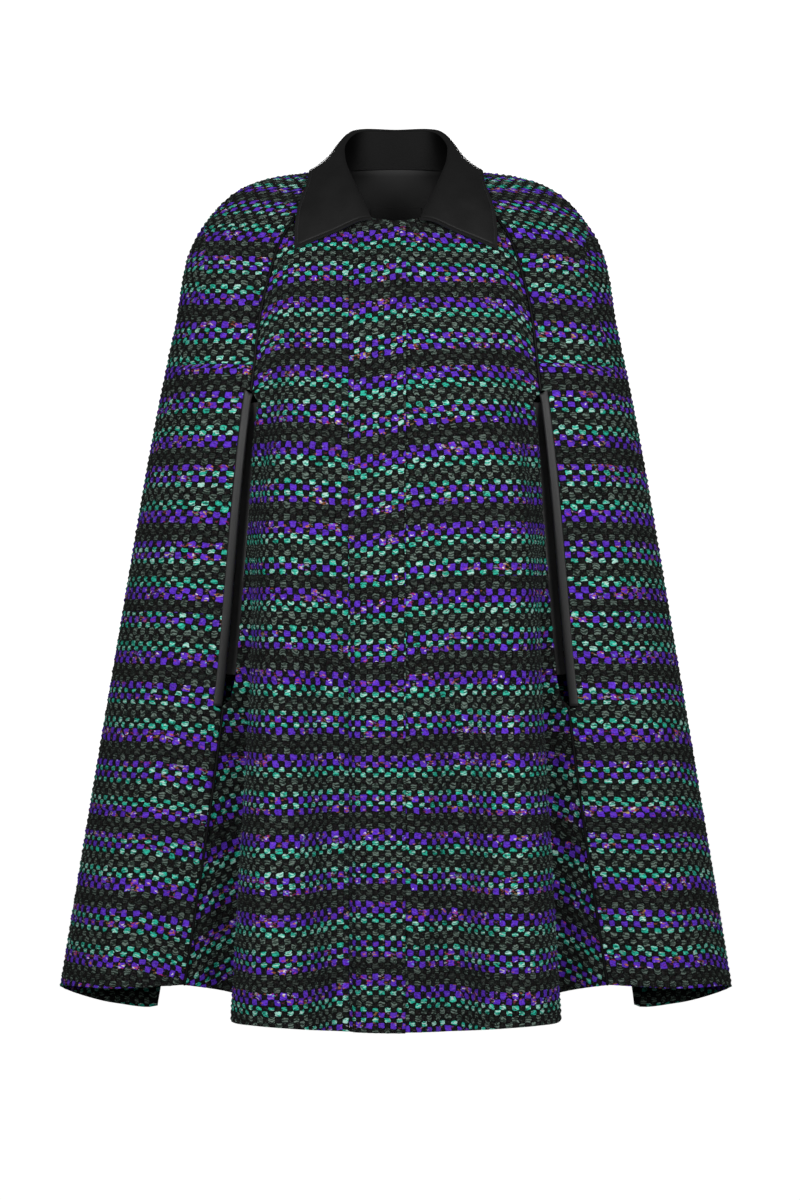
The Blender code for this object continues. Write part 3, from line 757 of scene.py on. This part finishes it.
front_right = cloth_panel(
    "front_right",
    Form(FRONT_LINES,
         lambda ring, level: along(ring, 0.0, SEAM_GAP / 2),
         lambda ring, level: at_x(ring, BAND_SEAM_X - SEAM_GAP / 2), columns=110),
    end_pitch=6.4, grain=1.0, mark=-416, dip=lambda points: front_dip(points, True), seed=1)
front_left = cloth_panel(
    "front_left",
    Form(FRONT_LINES,
         lambda ring, level: at_x(ring, UNDERLAP_X),
         lambda ring, level: along(ring, FRONT_END, -SEAM_GAP / 2), columns=150),
    end_pitch=6.4, grain=0.18, mark=-418, dip=lambda points: front_dip(points, False), seed=2)
front_band = cloth_panel(
    "front_band",
    Form(FRONT_LINES,
         lambda ring, level: at_x(ring, BAND_SEAM_X + SEAM_GAP / 2),
         lambda ring, level: at_x(ring, BAND_EDGE_X), columns=40, top=BAND_TOP, raise_by=band_rise),
    end_pitch=6.2, grain=0.5, mark=-431, dip=band_dip, seed=3)
for panel, node, flat, area, beside in (
    (front_right, "front_right", (0.35, 0.87), 0.163, ["cape_side_right", "collar_stand"]),
    (front_left, "front_left", (0.445, 0.87), 0.236, ["cape_side_left", "collar_stand"]),
    (front_band, "front_band", (0.070, 0.85), 0.050, ["front_right"]),
):
    finish_piece(panel, tweed_cloth, "tweed", node)

# The cape sides
# The same tweed, turned end for end so that the stripes come in the other order. Each is one layer, sewn to
# its front along the piped seam, left open there for the arm, and sewn to the back over the arm.
SIDE_LINES = {
    "seam": FRONT_LINES["seam"],
    "lobe_front": (
        (68, -9, 9), (147, -38, -33), (176, -52, -80),
        (191, -62, -180), (232, -71, -535), (275, -72, -818),
    ),
    "overarm": (
        (73, 11, 16), (169, 4, -9), (206, 4, -53),
        (229, 6, -150), (298, 12, -530), (348, 20, -827),
    ),
    "lobe_back": (
        (68, 34, 20), (150, 44, -24), (185, 58, -72),
        (205, 72, -170), (255, 92, -545), (300, 112, -856),
    ),
    "back_valley": (
        (57, 49, 22), (122, 67, -36), (150, 86, -88),
        (170, 98, -186), (215, 100, -548), (256, 90, -857),
    ),
    "back_turn": (
        (47, 57, 23), (102, 79, -43), (124, 101, -99),
        (142, 117, -194), (200, 128, -548), (262, 134, -843),
    ),
    "back_fold": (
        (33, 63, 24), (76, 90, -51), (94, 112, -109),
        (108, 130, -201), (160, 154, -550), (205, 182, -842),
    ),
    "centre_back": (
        (0, 67, 25), (0, 100, -58), (0, 124, -118),
        (0, 141, -208), (0, 174, -552), (0, 205, -842),
    ),
}
SIDE_END = 2.0 * (len(SIDE_LINES) - 1)
SIDE_MIDDLE = SIDE_END / 2
WELT_WIDTH = 9.5
# The level over the shoulder above which each column's own length spaces the picks
OWN_ABOVE = 1.3
# How long the slit's edge takes to step back to the welt's, as a share of a level
SLIT_CUT = 0.01
# How far each cloth runs past the overarm seam, so that no light shows through it
SEAM_LAP = 0.05
# The overarm seam: pairs of a level and a place on its ring
OVERARM_SEAM = (
    (0.0, 2.0), (1.6, 2.0), (2.0, 1.42), (2.3, 1.22), (2.6, 1.3), (3.0, 1.45),
    (3.2, 1.56), (3.6, 1.86), (4.0, 2.0),
)


def cape_edge(ring, level):
    """Where the cape side begins: at the seam, or beyond the welt along the slit."""
    gape = slit_open(level, SLIT_CUT)
    return along(ring, 0.0, SEAM_GAP / 2 + (WELT_WIDTH + SEAM_GAP / 2) * float(gape))


def overarm_edge(ring, level, gap):
    return along(ring, float(np.interp(level, *zip(*OVERARM_SEAM))), gap)


# How far the cape sides' picks dip, in mm: by height below the neck, and near the panel's first edge, which
# is the piped seam on the right and the overarm seam on the left
SIDE_DIP_HEIGHTS = (73, 124, 225, 300, 375, 480, 530, 580, 630, 680, 722, 772)
SIDE_DIPS = (4, -2, -4, -6, -5, -3, -2, 2, 3, -3, -1, 1)
BY_FIRST_EDGE = {
    "heights": (50, 120, 200, 270, 350, 480, 575, 625, 680, 770),
    "dips": (7, 4, 2, 1, 3, 4, 9, 11, 12, 14),
    "reach": 60,
}


def side_dip(points):
    """How far the cape sides' picks dip: unevenly down the coat, and towards the panel's first edge."""
    z = points[..., 2]
    uneven = np.interp(-z, SIDE_DIP_HEIGHTS, SIDE_DIPS)
    by_edge = np.interp(-z, BY_FIRST_EDGE["heights"], BY_FIRST_EDGE["dips"])
    return uneven + by_edge * edge_share(points, True, BY_FIRST_EDGE["reach"])


cape_side_right = cloth_panel(
    "cape_side_right",
    Form(SIDE_LINES, cape_edge, lambda ring, level: overarm_edge(ring, level, SEAM_LAP), columns=110),
    end_pitch=6.9, grain=0.45, mark=-430, runs_up=True, dip=side_dip, own_above=OWN_ABOVE, seed=4)
cape_side_left = cloth_panel(
    "cape_side_left",
    Form(SIDE_LINES,
         lambda ring, level: SIDE_END - overarm_edge(ring, level, SEAM_LAP),
         lambda ring, level: SIDE_END - cape_edge(ring, level), columns=110),
    end_pitch=6.9, grain=0.55, mark=-430, runs_up=True, dip=side_dip, own_above=OWN_ABOVE, seed=5)
for panel, side in ((cape_side_right, "right"), (cape_side_left, "left")):
    finish_piece(panel, tweed_cloth, "tweed", "cape_side_" + side)
    "front_" + side

# The back
# The back of the tweed in one piece from overarm seam to overarm seam, hanging in deep folds from the neck,
# a little longer than the cape sides so that its inside shows under their hems.
back = cloth_panel(
    "back",
    Form(SIDE_LINES,
         lambda ring, level: overarm_edge(ring, level, -SEAM_LAP),
         lambda ring, level: SIDE_END - overarm_edge(ring, level, -SEAM_LAP), columns=480),
    end_pitch=6.4, grain=0.5, mark=-430, runs_up=True, own_above=OWN_ABOVE, seed=6)
finish_piece(back, tweed_cloth, "tweed", "back")

# Piping
# Black leather cord, in lengths sewn into the seams between the fronts and the cape sides: one above and
# one below each arm slit.
PIPING_RADIUS = 1.5
PIPING_LIFT = 0.4
PIPING_TOP = 0.62
PIPING_SIDES = 10
PIPING_ROWS = 90
# Shares of the radius by which the cord swells as it runs, and to which it is drawn in at its ends
PIPING_SWELL = 0.05
PIPING_WAVE = 2.1
PIPING_END = 0.7
# A direction that no cord runs in, for the start of its rings
RING_START = (0.3, 1.0, 0.1)
# How far to each side of a place on the coat its direction is read
NEARBY = 0.01
LEATHER_TONES = (0.0080, 0.0150)
GRAIN_SCALE = 900.0
PORE_SCALE = 2400.0
CLOUD_SCALE = 40.0
SIDES = ((1, "right"), (-1, "left"))


def outward(lines, level, at):
    """The coat's point and outward direction at a place on a ring."""
    last = len(lines) * 2 - 2
    ring = ring_at(lines, level)
    two = smooth_curve(ring, (max(at - NEARBY, 0.0), min(at + NEARBY, last)))
    upper = smooth_curve(ring_at(lines, max(level - NEARBY, NECK)), at)[0]
    lower = smooth_curve(ring_at(lines, min(level + NEARBY, HEM)), at)[0]
    normal = np.cross(two[1] - two[0], lower - upper) * (-1.0 if lines is FRONT_LINES else 1.0)
    return smooth_curve(ring, at)[0], unit(normal)


def seam_outward(level):
    """The right seam's point, and the direction halfway between those of the two cloths."""
    point, beside = outward(SIDE_LINES, level, 0.0)
    front = outward(FRONT_LINES, level, 0.0)[1]
    return point, unit(front + beside)


def mesh_piece(name, points, faces):
    """A piece from points in mm and faces."""
    mesh = bpy.data.meshes.new(name)
    mesh.from_pydata((np.asarray(points) * MM).tolist(), [], faces)
    return place_piece(name, mesh, PIECE_SHARP)


def ring_round(point, radius, side, up, sides):
    """Points of a ring round a point, in the plane of two directions."""
    turns = np.linspace(0, 2 * np.pi, sides, endpoint=False)
    return point + radius * (np.outer(np.cos(turns), side) + np.outer(np.sin(turns), up))


def tube_faces(rings, sides, first=0):
    """Faces between rings of points that follow each other from the point first."""
    faces = []
    for start in range(first, first + (rings - 1) * sides, sides):
        for side in range(sides):
            here, there = start + side, start + (side + 1) % sides
            faces.append((here, there, there + sides, here + sides))
    return faces


def closed_tube(rings, sides, first=0):
    """Faces of a tube with both of its ends closed."""
    last = first + (rings - 1) * sides
    return tube_faces(rings, sides, first) + [tuple(range(end, end + sides)) for end in (first, last)]


def cord(name, route, radii, sides):
    """A cord along a route, with a radius at each point."""
    run = unit(np.gradient(route, axis=0))
    across = unit(np.cross(run, RING_START))
    upward = np.cross(run, across)
    rings = [ring_round(*ring, sides) for ring in zip(route, radii, across, upward)]
    return mesh_piece(name, np.concatenate(rings), closed_tube(len(route), sides))


def leather(name, shade):
    """Black leather with a fine grain, cloudy in tone and in gloss; shade scales its tone, for copies with
    painted light and painted shade.
    """
    finish = Finish(name)
    where = finish.node("ShaderNodeTexCoord", {}, {}, "Object")
    grain = finish.node("ShaderNodeTexVoronoi", {"feature": "F1"}, {"Vector": where, "Scale": GRAIN_SCALE})
    pores = finish.noise(where, PORE_SCALE, 3.0)
    cloudy = finish.noise(where, CLOUD_SCALE, 3.0)
    dark, light = (colour((tone * shade,) * 3) for tone in LEATHER_TONES)
    tone = finish.mix(cloudy, dark, light)
    height = grain * 0.6 + pores * 0.5
    bump = finish.node("ShaderNodeBump", {}, {"Height": height, "Strength": 0.35, "Distance": 0.0004})
    return finish.surface({
        "Base Color": tone,
        "Roughness": 0.40 + cloudy * 0.16,
        "Normal": bump,
        "Specular IOR Level": min(0.35 * shade, 0.4),
    })


black_leather = leather("leather", shade=1.0)
# The same black leather painted darker as shade, for the piping and the collar stand
painted_shade_leather = leather("painted_shade_leather", shade=0.27)
for side, side_name in SIDES:
    for part, top, foot in (("upper", PIPING_TOP, SLIT_TOP), ("lower", SLIT_BOTTOM, HEM)):
        route = []
        for level in np.linspace(top, foot, PIPING_ROWS):
            seam, out = seam_outward(level)
            route.append((seam + out * (PIPING_RADIUS + PIPING_LIFT)) * (side, 1, 1))
        uneven = 1.0 + PIPING_SWELL * np.sin(np.arange(PIPING_ROWS) * PIPING_WAVE)
        uneven[[0, -1]] = PIPING_END
        node = f"piping_{part}_{side_name}"
        piping = cord(node + "_cord", np.array(route), PIPING_RADIUS * uneven, PIPING_SIDES)
        # The cord takes the leather painted darker as shade
        finish_piece(piping, painted_shade_leather, "leather", node)

# Welts of the arm slits
# Strips of the same leather, folded over the raw edges: the outer one faces forward on the cape side's edge,
# the inner one is turned in behind it on the front's edge.
INNER_WELT_REACH = (-9.5, 8.0)
LEATHER_WALL = 1.8
# How far short of the slit's ends the strips stop, in levels
OUTER_WELT_CLEAR = 0.012
INNER_WELT_CLEAR = (0.035, 0.11)
# Rows and columns of points, how far the rims swell, and the outer strip's inset, crown, roundness and sink
OUTER_WELT_GRID = (120, 9)
INNER_WELT_GRID = (100, 6)
OUTER_WELT_RIM = 0.9
INNER_WELT_RIM = 0.2
WELT_INSET = 0.4
WELT_CROWN = 0.6
WELT_ROUNDNESS = 0.7
WELT_SINK = 0.2
# The least that the seam's direction may agree with the front's own before the wall stops stretching
LEAST_LEAN = 0.6


def soft_wall(name, outer, inner, swell):
    """A closed wall between two grids of points, with its rim rounded out by swell."""
    outer, inner = np.asarray(outer, float), np.asarray(inner, float)
    rows, columns = outer.shape[:2]
    middle = (outer + inner) / 2
    pushed = middle.copy()
    pushed[0] += unit(middle[0] - middle[1]) * swell
    pushed[-1] += unit(middle[-1] - middle[-2]) * swell
    pushed[:, 0] += unit(middle[:, 0] - middle[:, 1]) * swell
    pushed[:, -1] += unit(middle[:, -1] - middle[:, -2]) * swell
    place = np.arange(rows * columns).reshape(rows, columns)
    border = np.concatenate((place[0, :-1], place[:-1, -1], place[-1, :0:-1], place[:0:-1, 0]))
    points = np.concatenate((outer.reshape(-1, 3), inner.reshape(-1, 3), pushed.reshape(-1, 3)[border]))
    quads = grid_quads(place)
    size = rows * columns
    faces = quads.tolist() + (quads[:, ::-1] + size).tolist()
    rim = 2 * size + np.arange(len(border))
    for here in range(len(border)):
        there = (here + 1) % len(border)
        faces.append([int(border[there]), int(border[here]), int(rim[here]), int(rim[there])])
        faces.append([int(rim[there]), int(rim[here]), int(border[here] + size), int(border[there] + size)])
    return mesh_piece(name, points, faces)


def wall_through(level, own):
    """How the cloth's wall leans at the slit's edge: square to it, or along the seam at the slit's ends."""
    shared = seam_outward(level)[1]
    stretch = 1.0 / max(float(shared @ outward(FRONT_LINES, level, 0.0)[1]), LEAST_LEAN)
    gape = float(slit_open(level))
    return CLOTH_WALL * (own * gape + shared * stretch * (1.0 - gape))


# The same black leather painted lighter, as painted light on the inner welts, which sit in shade in the slits
painted_light_leather = leather("painted_light_leather", shade=3.6)
for side, side_name in SIDES:
    face, behind = [], []
    rows, columns = OUTER_WELT_GRID
    for level in np.linspace(SLIT_TOP + OUTER_WELT_CLEAR, SLIT_BOTTOM - OUTER_WELT_CLEAR, rows):
        ring = ring_at(SIDE_LINES, level)
        edges = (along(ring, 0.0, SEAM_GAP / 2 + WELT_INSET), along(ring, 0.0, WELT_WIDTH - WELT_INSET))
        at = np.linspace(*edges, columns)
        points = smooth_curve(ring, at)
        normals = np.array([outward(SIDE_LINES, level, place)[1] for place in at])
        through = normals * CLOTH_WALL
        through[0] = wall_through(level, normals[0])
        crown = np.sin(np.linspace(0, np.pi, columns))[:, None] ** WELT_ROUNDNESS
        face.append((points + normals * (crown * WELT_CROWN - WELT_SINK)) * (side, 1, 1))
        behind.append((points - through) * (side, 1, 1))
    welt = soft_wall("welt_outer_strip_" + side_name, face, behind, OUTER_WELT_RIM)
    finish_piece(welt, black_leather, "leather", "welt_outer_" + side_name)
    face, behind = [], []
    rows, columns = INNER_WELT_GRID
    for level in np.linspace(SLIT_TOP + INNER_WELT_CLEAR[0], SLIT_BOTTOM - INNER_WELT_CLEAR[1], rows):
        ring = ring_at(FRONT_LINES, level)
        edge, inside = smooth_curve(ring, (0.0, NEARBY))
        start = edge + unit(edge - inside) * SEAM_GAP
        through = wall_through(level, outward(FRONT_LINES, level, 0.0)[1]) * LEATHER_WALL / CLOTH_WALL
        depths = np.linspace(0.0, 1.0, columns)[:, None]
        reach = np.array((*INNER_WELT_REACH, 0.0))
        face.append((start + depths * reach) * (side, 1, 1))
        turned = reach + (LEATHER_WALL, 0.0, 0.0)
        behind.append((start - through * (1 - depths) + depths * turned) * (side, 1, 1))
    welt = soft_wall("welt_inner_strip_" + side_name, face, behind, INNER_WELT_RIM)
    # The inner strip takes the leather painted lighter as light
    finish_piece(welt, painted_light_leather, "leather", "welt_inner_" + side_name)

# Collar
# A turned-down collar of the same leather, pointed at the front, with a row of stitches close to its edge,
# on a stand sewn to the neck.
ROLL_INSET = 2.4
# Stations from the right front end to the middle of the back: the roll's place and how far it drops inside,
# the leaf's edge as a line's ring, place and level, how far that lifts off the cloth, and how the leaf swells
COLLAR_STATIONS = (
    {"roll": (26, -84, -45), "drop": 1.0, "edge": (FRONT_LINES, 1.30, 1.09), "lift": 5.0, "swell": 1.0},
    {"roll": (38, -58, -15), "drop": 2.5, "edge": (SIDE_LINES, 0.0, 0.72), "lift": 5.0, "swell": 4.0},
    {"roll": (49, -30, 11), "drop": 2.5, "edge": (SIDE_LINES, 0.75, 0.30), "lift": 4.0, "swell": 3.5},
    {"roll": (55, 0, 31), "drop": 2.2, "edge": (SIDE_LINES, 2.0, 0.14), "lift": 3.0, "swell": 2.5},
    {"roll": (54, 29, 50), "drop": 2.0, "edge": (SIDE_LINES, 3.0, 0.14), "lift": 3.0, "swell": 2.0},
    {"roll": (42, 51, 64), "drop": 2.0, "edge": (SIDE_LINES, 5.0, 0.26), "lift": 3.5, "swell": 3.0},
    {"roll": (0, 60, 66), "drop": 2.0, "edge": (SIDE_LINES, SIDE_MIDDLE, 0.36), "lift": 4.0, "swell": 5.0},
)
# Columns of the leaf, closer within a span of its ends, and rows, closer towards its edge
END_SPAN = 0.35
END_COLUMNS = 25
LEAF_COLUMNS = 150
ROLL_ROWS = 22
EDGE_ROWS = 36
EDGE_CROWDING = 1.7
COLLAR_RIM = 0.6
EDGE_BEAD = {"rise": 0.55, "width": 2.2}
STITCH_GROOVE = {"depth": 0.5, "width": 0.9}
STITCH_INSET = 3.6
STITCH_PITCH = 3.2
STITCH_LENGTH = 2.3
STITCH_RADIUS = 0.28
STITCH_SIDES = 5
THREAD_TONES = ((0.020, 0.020, 0.021), (0.045, 0.045, 0.047))
STITCH_START = 1.0
STITCH_TOP_ROW = 24
# Along a stitch: share of its length, height over the leather in mm, and share of its radius
STITCH_SHAPE = ((0.0, -0.35, 0.7), (0.18, 0.1, 1.0), (0.5, 0.22, 1.0), (0.82, 0.1, 1.0), (1.0, -0.35, 0.7))

rows = []
for station in COLLAR_STATIONS:
    lines, at, level = station["edge"]
    point, normal = outward(lines, level, at)
    roll = np.array(station["roll"]) * (-1.0, 1.0, 1.0)
    rows.append((roll, point + normal * station["lift"], station["drop"], station["swell"]))
rows += [(roll * (-1, 1, 1), edge * (-1, 1, 1), drop, swell) for roll, edge, drop, swell in rows[-2::-1]]
rolls, edges, drops, swells = zip(*rows)
last = len(rows) - 1
places = np.concatenate((
    np.linspace(0, END_SPAN, END_COLUMNS)[:-1],
    np.linspace(END_SPAN, last - END_SPAN, LEAF_COLUMNS)[:-1],
    np.linspace(last - END_SPAN, last, END_COLUMNS),
))
drops = np.interp(places, np.arange(len(rows)), drops)
swells = np.interp(places, np.arange(len(rows)), swells)
rolls, edges = smooth_curve(rolls, places), smooth_curve(edges, places)
run = unit(np.gradient(rolls, axis=0))
out = (edges - rolls) * (1, 1, 0)
out = unit(out - (out * run).sum(axis=1)[:, None] * run)
up = np.cross(run, out)
up = up * np.sign(up[:, 2:])
starts = rolls - out * ROLL_INSET - up * drops[:, None]
proud = unit(np.cross(np.gradient(rolls, axis=0), edges - rolls))
middles = (rolls + edges) / 2 + proud * swells[:, None]
read = np.concatenate((np.linspace(0, 2, ROLL_ROWS)[:-1], 3 - np.linspace(1, 0, EDGE_ROWS) ** EDGE_CROWDING))
columns = zip(starts, rolls, middles, edges)
leaf = np.array([smooth_curve(column, read) for column in columns]).transpose(1, 0, 2)
leaf_normals = unit(np.cross(np.gradient(leaf, axis=1), np.gradient(leaf, axis=0)))
through = leaf_normals.copy()
through[0] = -out

# The edge is thick where the leather is folded under, and pulled in along the stitches
down_leaf, along_leaf = lengths_along(leaf, 0), lengths_along(leaf, 1)
to_edge = down_leaf[-1] - down_leaf
to_end = np.minimum(along_leaf, along_leaf[:, -1:] - along_leaf)
inset = np.minimum(to_edge, to_end)
bead = EDGE_BEAD["rise"] * np.exp(-((inset / EDGE_BEAD["width"]) ** 2))
groove = STITCH_GROOVE["depth"] * np.exp(-(((inset - STITCH_INSET) / STITCH_GROOVE["width"]) ** 2))
shaped = leaf + leaf_normals * (bead - groove)[:, :, None]
collar_fall = soft_wall("collar_leaf", shaped, leaf - through * LEATHER_WALL, COLLAR_RIM)
finish_piece(collar_fall, black_leather, "leather", "collar_fall")

# One row of stitches round the leaf: up its right end, along its edge and up its left end
down_right = [column for column in range(len(places)) if to_end[-1, column] >= STITCH_INSET][0]
edge_rows = [int(np.searchsorted(-to_edge[:, column], -STITCH_INSET)) for column in range(len(places))]
path = [shaped[row, down_right] for row in range(STITCH_TOP_ROW, edge_rows[down_right])]
path += [shaped[edge_rows[column], column] for column in range(down_right, len(places) - down_right)]
up_left = range(edge_rows[-1 - down_right] - 1, STITCH_TOP_ROW - 1, -1)
path += [shaped[row, -1 - down_right] for row in up_left]
path = np.array(path)
walked = np.insert(np.cumsum(np.linalg.norm(np.diff(path, axis=0), axis=1)), 0, 0.0)
moved = np.insert(np.diff(walked) > 1e-6, 0, True)
path, walked = path[moved], walked[moved]


def stitches(name, path, walked, normals_up):
    """A row of short thread stitches along a path, each sunk at its ends."""
    shares, lifts, radii = (np.array(column) for column in zip(*STITCH_SHAPE))
    points, faces = [], []
    for start in np.arange(STITCH_START, walked[-1] - STITCH_LENGTH, STITCH_PITCH):
        at = start + STITCH_LENGTH * shares
        middle = np.array([np.interp(at, walked, path[:, axis]) for axis in range(3)]).T
        lift = np.array([np.interp(at, walked, normals_up[:, axis]) for axis in range(3)]).T
        across = unit(np.cross(unit(middle[-1] - middle[0]), lift[2]))
        middle = middle + lift * lifts[:, None]
        faces += closed_tube(len(shares), STITCH_SIDES, len(points))
        for point, radius in zip(middle, STITCH_RADIUS * radii):
            points += list(ring_round(point, radius, across, lift[2], STITCH_SIDES))
    return mesh_piece(name, points, faces)


def thread_finish():
    finish = Finish("thread")
    where = finish.node("ShaderNodeTexCoord", {}, {}, "Object")
    twist = finish.noise(where, 3000.0)
    tone = finish.mix(twist, *(colour(tone) for tone in THREAD_TONES))
    return finish.surface({"Base Color": tone, "Roughness": 0.8, "Specular IOR Level": 0.1})


black_thread = thread_finish()
nearest = [np.argmin(((leaf.reshape(-1, 3) - point) ** 2).sum(axis=1)) for point in path]
collar_stitches = stitches("collar_stitches", path, walked, leaf_normals.reshape(-1, 3)[nearest])
finish_piece(collar_stitches, black_thread, "leather")

# The stand, up from the neck seam to where the leaf starts to roll. It starts this far from the leaf's ends,
# in stations, and its foot is sunk a little below the seam
STAND_START = 0.92
STAND_SINK = 0.6
STAND_ROWS = 9
STAND_RIM = 0.1
NECK_POINTS = {"front": 40, "back": 120}
neck_line = np.concatenate((
    smooth_curve(ring_at(FRONT_LINES, NECK), np.linspace(FRONT_END / 2, 0.0, NECK_POINTS["front"])[:-1]),
    smooth_curve(ring_at(SIDE_LINES, NECK), np.linspace(0.0, SIDE_END, NECK_POINTS["back"])),
    smooth_curve(ring_at(FRONT_LINES, NECK), np.linspace(FRONT_END, FRONT_END / 2, NECK_POINTS["front"])[1:]),
))
behind_ends = slice(*(int(np.searchsorted(places, end)) for end in (STAND_START, last - STAND_START)))
tops = (starts - up * SEAM_GAP)[behind_ends]
turns = np.unwrap(np.arctan2(-neck_line[:, 0], -neck_line[:, 1]))
wanted = np.unwrap(np.arctan2(-tops[:, 0], -tops[:, 1]))
feet = np.array([np.interp(wanted, turns, neck_line[:, axis]) for axis in range(3)]).T
feet = feet + (0.0, 0.0, -STAND_SINK)
stand = np.array([tops + (feet - tops) * share for share in np.linspace(0.0, 1.0, STAND_ROWS)])
through = unit(np.cross(np.gradient(stand, axis=1), np.gradient(stand, axis=0)))
through[0] = out[behind_ends]
collar_stand = soft_wall("collar_stand_band", stand + through * LEATHER_WALL, stand, STAND_RIM)
# The stand takes the leather painted darker as shade
finish_piece(collar_stand, painted_shade_leather, "leather", "collar_stand")

# Back neck facing and label
# A shaped facing of black satin inside the back neck, and a plain woven label sewn on it at its ends.
FACING_WALL = 1.0
LABEL_WALL = 0.6
FACING_LEVELS = (0.0, 0.78)
FACING_START = 4.0
FACING_GRID = (24, 80)
FACING_LAP = 1.0
LABEL_LEVELS = (0.45, 0.66)
LABEL_WIDTH = 54.0
LABEL_GRID = (8, 24)
LABEL_CLEAR = 0.5
PATCH_RIM = 0.1
SATIN_TONES = (0.0070, 0.0115)


def satin(name, shade):
    """Black satin, or with a lower shade the denser weave of the label."""
    finish = Finish(name)
    where = finish.node("ShaderNodeTexCoord", {}, {}, "Object")
    threads = finish.noise(where, 1800.0, 2.0)
    # The tone darkens and lightens in broad patches as painted shade and sheen of folds; the gloss varies
    # with it
    fold_shade = finish.noise(where, 18.0, 2.0)
    tone = finish.mix(fold_shade, *(colour((tone * shade,) * 3) for tone in SATIN_TONES))
    bump = finish.node("ShaderNodeBump", {}, {"Height": threads, "Strength": 0.2, "Distance": 0.0002})
    return finish.surface({"Base Color": tone, "Roughness": 0.42 + fold_shade * 0.15, "Normal": bump})


def back_patch(name, levels, span, grid, depth, thickness, over=0.0):
    """A patch inside the back, set in from its outer face by depth. Its top edge may lap over the cloth's."""
    rows, columns = grid
    face, behind = [], []
    for number, level in enumerate(np.linspace(*levels, rows)):
        first, last = span(level)
        at = np.linspace(first, last, columns)
        read = [outward(SIDE_LINES, level, place) for place in at]
        points, normals = (np.array(values) for values in zip(*read))
        if number == 0:
            points = points + (0.0, 0.0, over)
        face.append(points - normals * (SEAM_GAP if over and number == 0 else depth))
        behind.append(points - normals * (depth + thickness))
    return soft_wall(name, face, behind, PATCH_RIM)


def facing_span(level):
    return FACING_START, SIDE_END - FACING_START


def label_span(level):
    start = along(ring_at(SIDE_LINES, level), SIDE_MIDDLE, -LABEL_WIDTH / 2)
    return start, SIDE_END - start


black_satin = satin("satin", shade=0.30)
facing_depth = CLOTH_WALL + SEAM_GAP
facing = back_patch("neck_facing_cloth", FACING_LEVELS, facing_span, FACING_GRID,
                    facing_depth, FACING_WALL, FACING_LAP)
finish_piece(facing, black_satin, "satin", "neck_facing")
label = back_patch("label_tape", LABEL_LEVELS, label_span, LABEL_GRID,
                   facing_depth + FACING_WALL + LABEL_CLEAR, LABEL_WALL)
finish_piece(label, satin("label", shade=0.22), "satin", "label")

# Studio
# A round pale floor that curves up into a white wall on every side, further off than any camera. It shows to
# the camera only. Soft lights stand in front at both sides and, weaker, in the middle, and one stands behind.
CAMERA = (0.0041, -3.2, -0.427)
VIEW_HEIGHT = 1.236
FLOOR = -1.10
FLOOR_RADIUS = 6.0
WALL_BEND = 2.0
WALL_TOP = 9.0
WALL_SIDES = 64
WALL_ROWS = 12
PAPER_WHITE = (0.93, 0.93, 0.93)
PAPER_GLOW = 1.1
LIGHT_TARGET = (0, 0, -0.4)
LIGHTS = (
    {"name": "key", "place": (-1.12, -2.52, 0.09), "size": 0.9, "power": 39},
    {"name": "key", "place": (1.12, -2.52, 0.09), "size": 0.9, "power": 39},
    {"name": "fill", "place": (0.0, -2.9, -0.1), "size": 0.6, "power": 9},
    {"name": "behind", "place": (0.0, 2.8, 0.5), "size": 1.2, "power": 80},
)
WORLD_LIGHT = 0.06
SENSOR_HEIGHT = 36.0


def studio_round():
    bend = np.linspace(0.0, np.pi / 2, WALL_ROWS)
    reaches = [*(FLOOR_RADIUS + WALL_BEND * np.sin(bend)), FLOOR_RADIUS + WALL_BEND]
    heights = [*(FLOOR + WALL_BEND * (1 - np.cos(bend))), WALL_TOP]
    rings = [
        ring_round((0.0, 0.0, height), reach, (1.0, 0.0, 0.0), (0.0, 1.0, 0.0), WALL_SIDES)
        for reach, height in zip(reaches, heights)
    ]
    faces = [tuple(range(WALL_SIDES))] + tube_faces(len(rings), WALL_SIDES)
    mesh = bpy.data.meshes.new("studio_round")
    mesh.from_pydata(np.concatenate(rings).tolist(), [], faces)
    mesh.shade_smooth()
    made = bpy.data.objects.new("studio_round", mesh)
    bpy.context.collection.objects.link(made)
    white = colour(PAPER_WHITE)
    mesh.materials.append(Finish("paper").surface({
        "Base Color": white, "Roughness": 0.9, "Emission Color": white, "Emission Strength": PAPER_GLOW,
    }))
    made.visible_diffuse = False
    made.visible_glossy = False


def soft_light(name, place, size, power):
    """A square soft light turned to the middle of the coat."""
    light = bpy.data.lights.new(name, "AREA")
    light.shape = "RECTANGLE"
    light.size, light.size_y = size, size
    light.energy = power
    made = bpy.data.objects.new(name, light)
    made.location = place
    x, y, z = np.array(LIGHT_TARGET) - np.array(place)
    made.rotation_euler = (float(np.arctan2(np.hypot(x, y), -z)), 0.0, float(np.arctan2(y, x) - np.pi / 2))
    bpy.context.collection.objects.link(made)


studio_round()
for light in LIGHTS:
    soft_light(**light)
world = bpy.data.worlds.new("studio")
world.use_nodes = True
world.node_tree.nodes["Background"].inputs["Color"].default_value = (1.0, 1.0, 1.0, 1.0)
world.node_tree.nodes["Background"].inputs["Strength"].default_value = WORLD_LIGHT
bpy.context.scene.world = world
lens = bpy.data.cameras.new("camera")
lens.sensor_fit = "VERTICAL"
lens.sensor_height = SENSOR_HEIGHT
lens.lens = SENSOR_HEIGHT * -CAMERA[1] / VIEW_HEIGHT
camera = bpy.data.objects.new("camera", lens)
camera.location = CAMERA
camera.rotation_euler = (np.pi / 2, 0.0, 0.0)
bpy.context.collection.objects.link(camera)
bpy.context.scene.camera = camera
bpy.context.scene.view_settings.view_transform = "Standard"
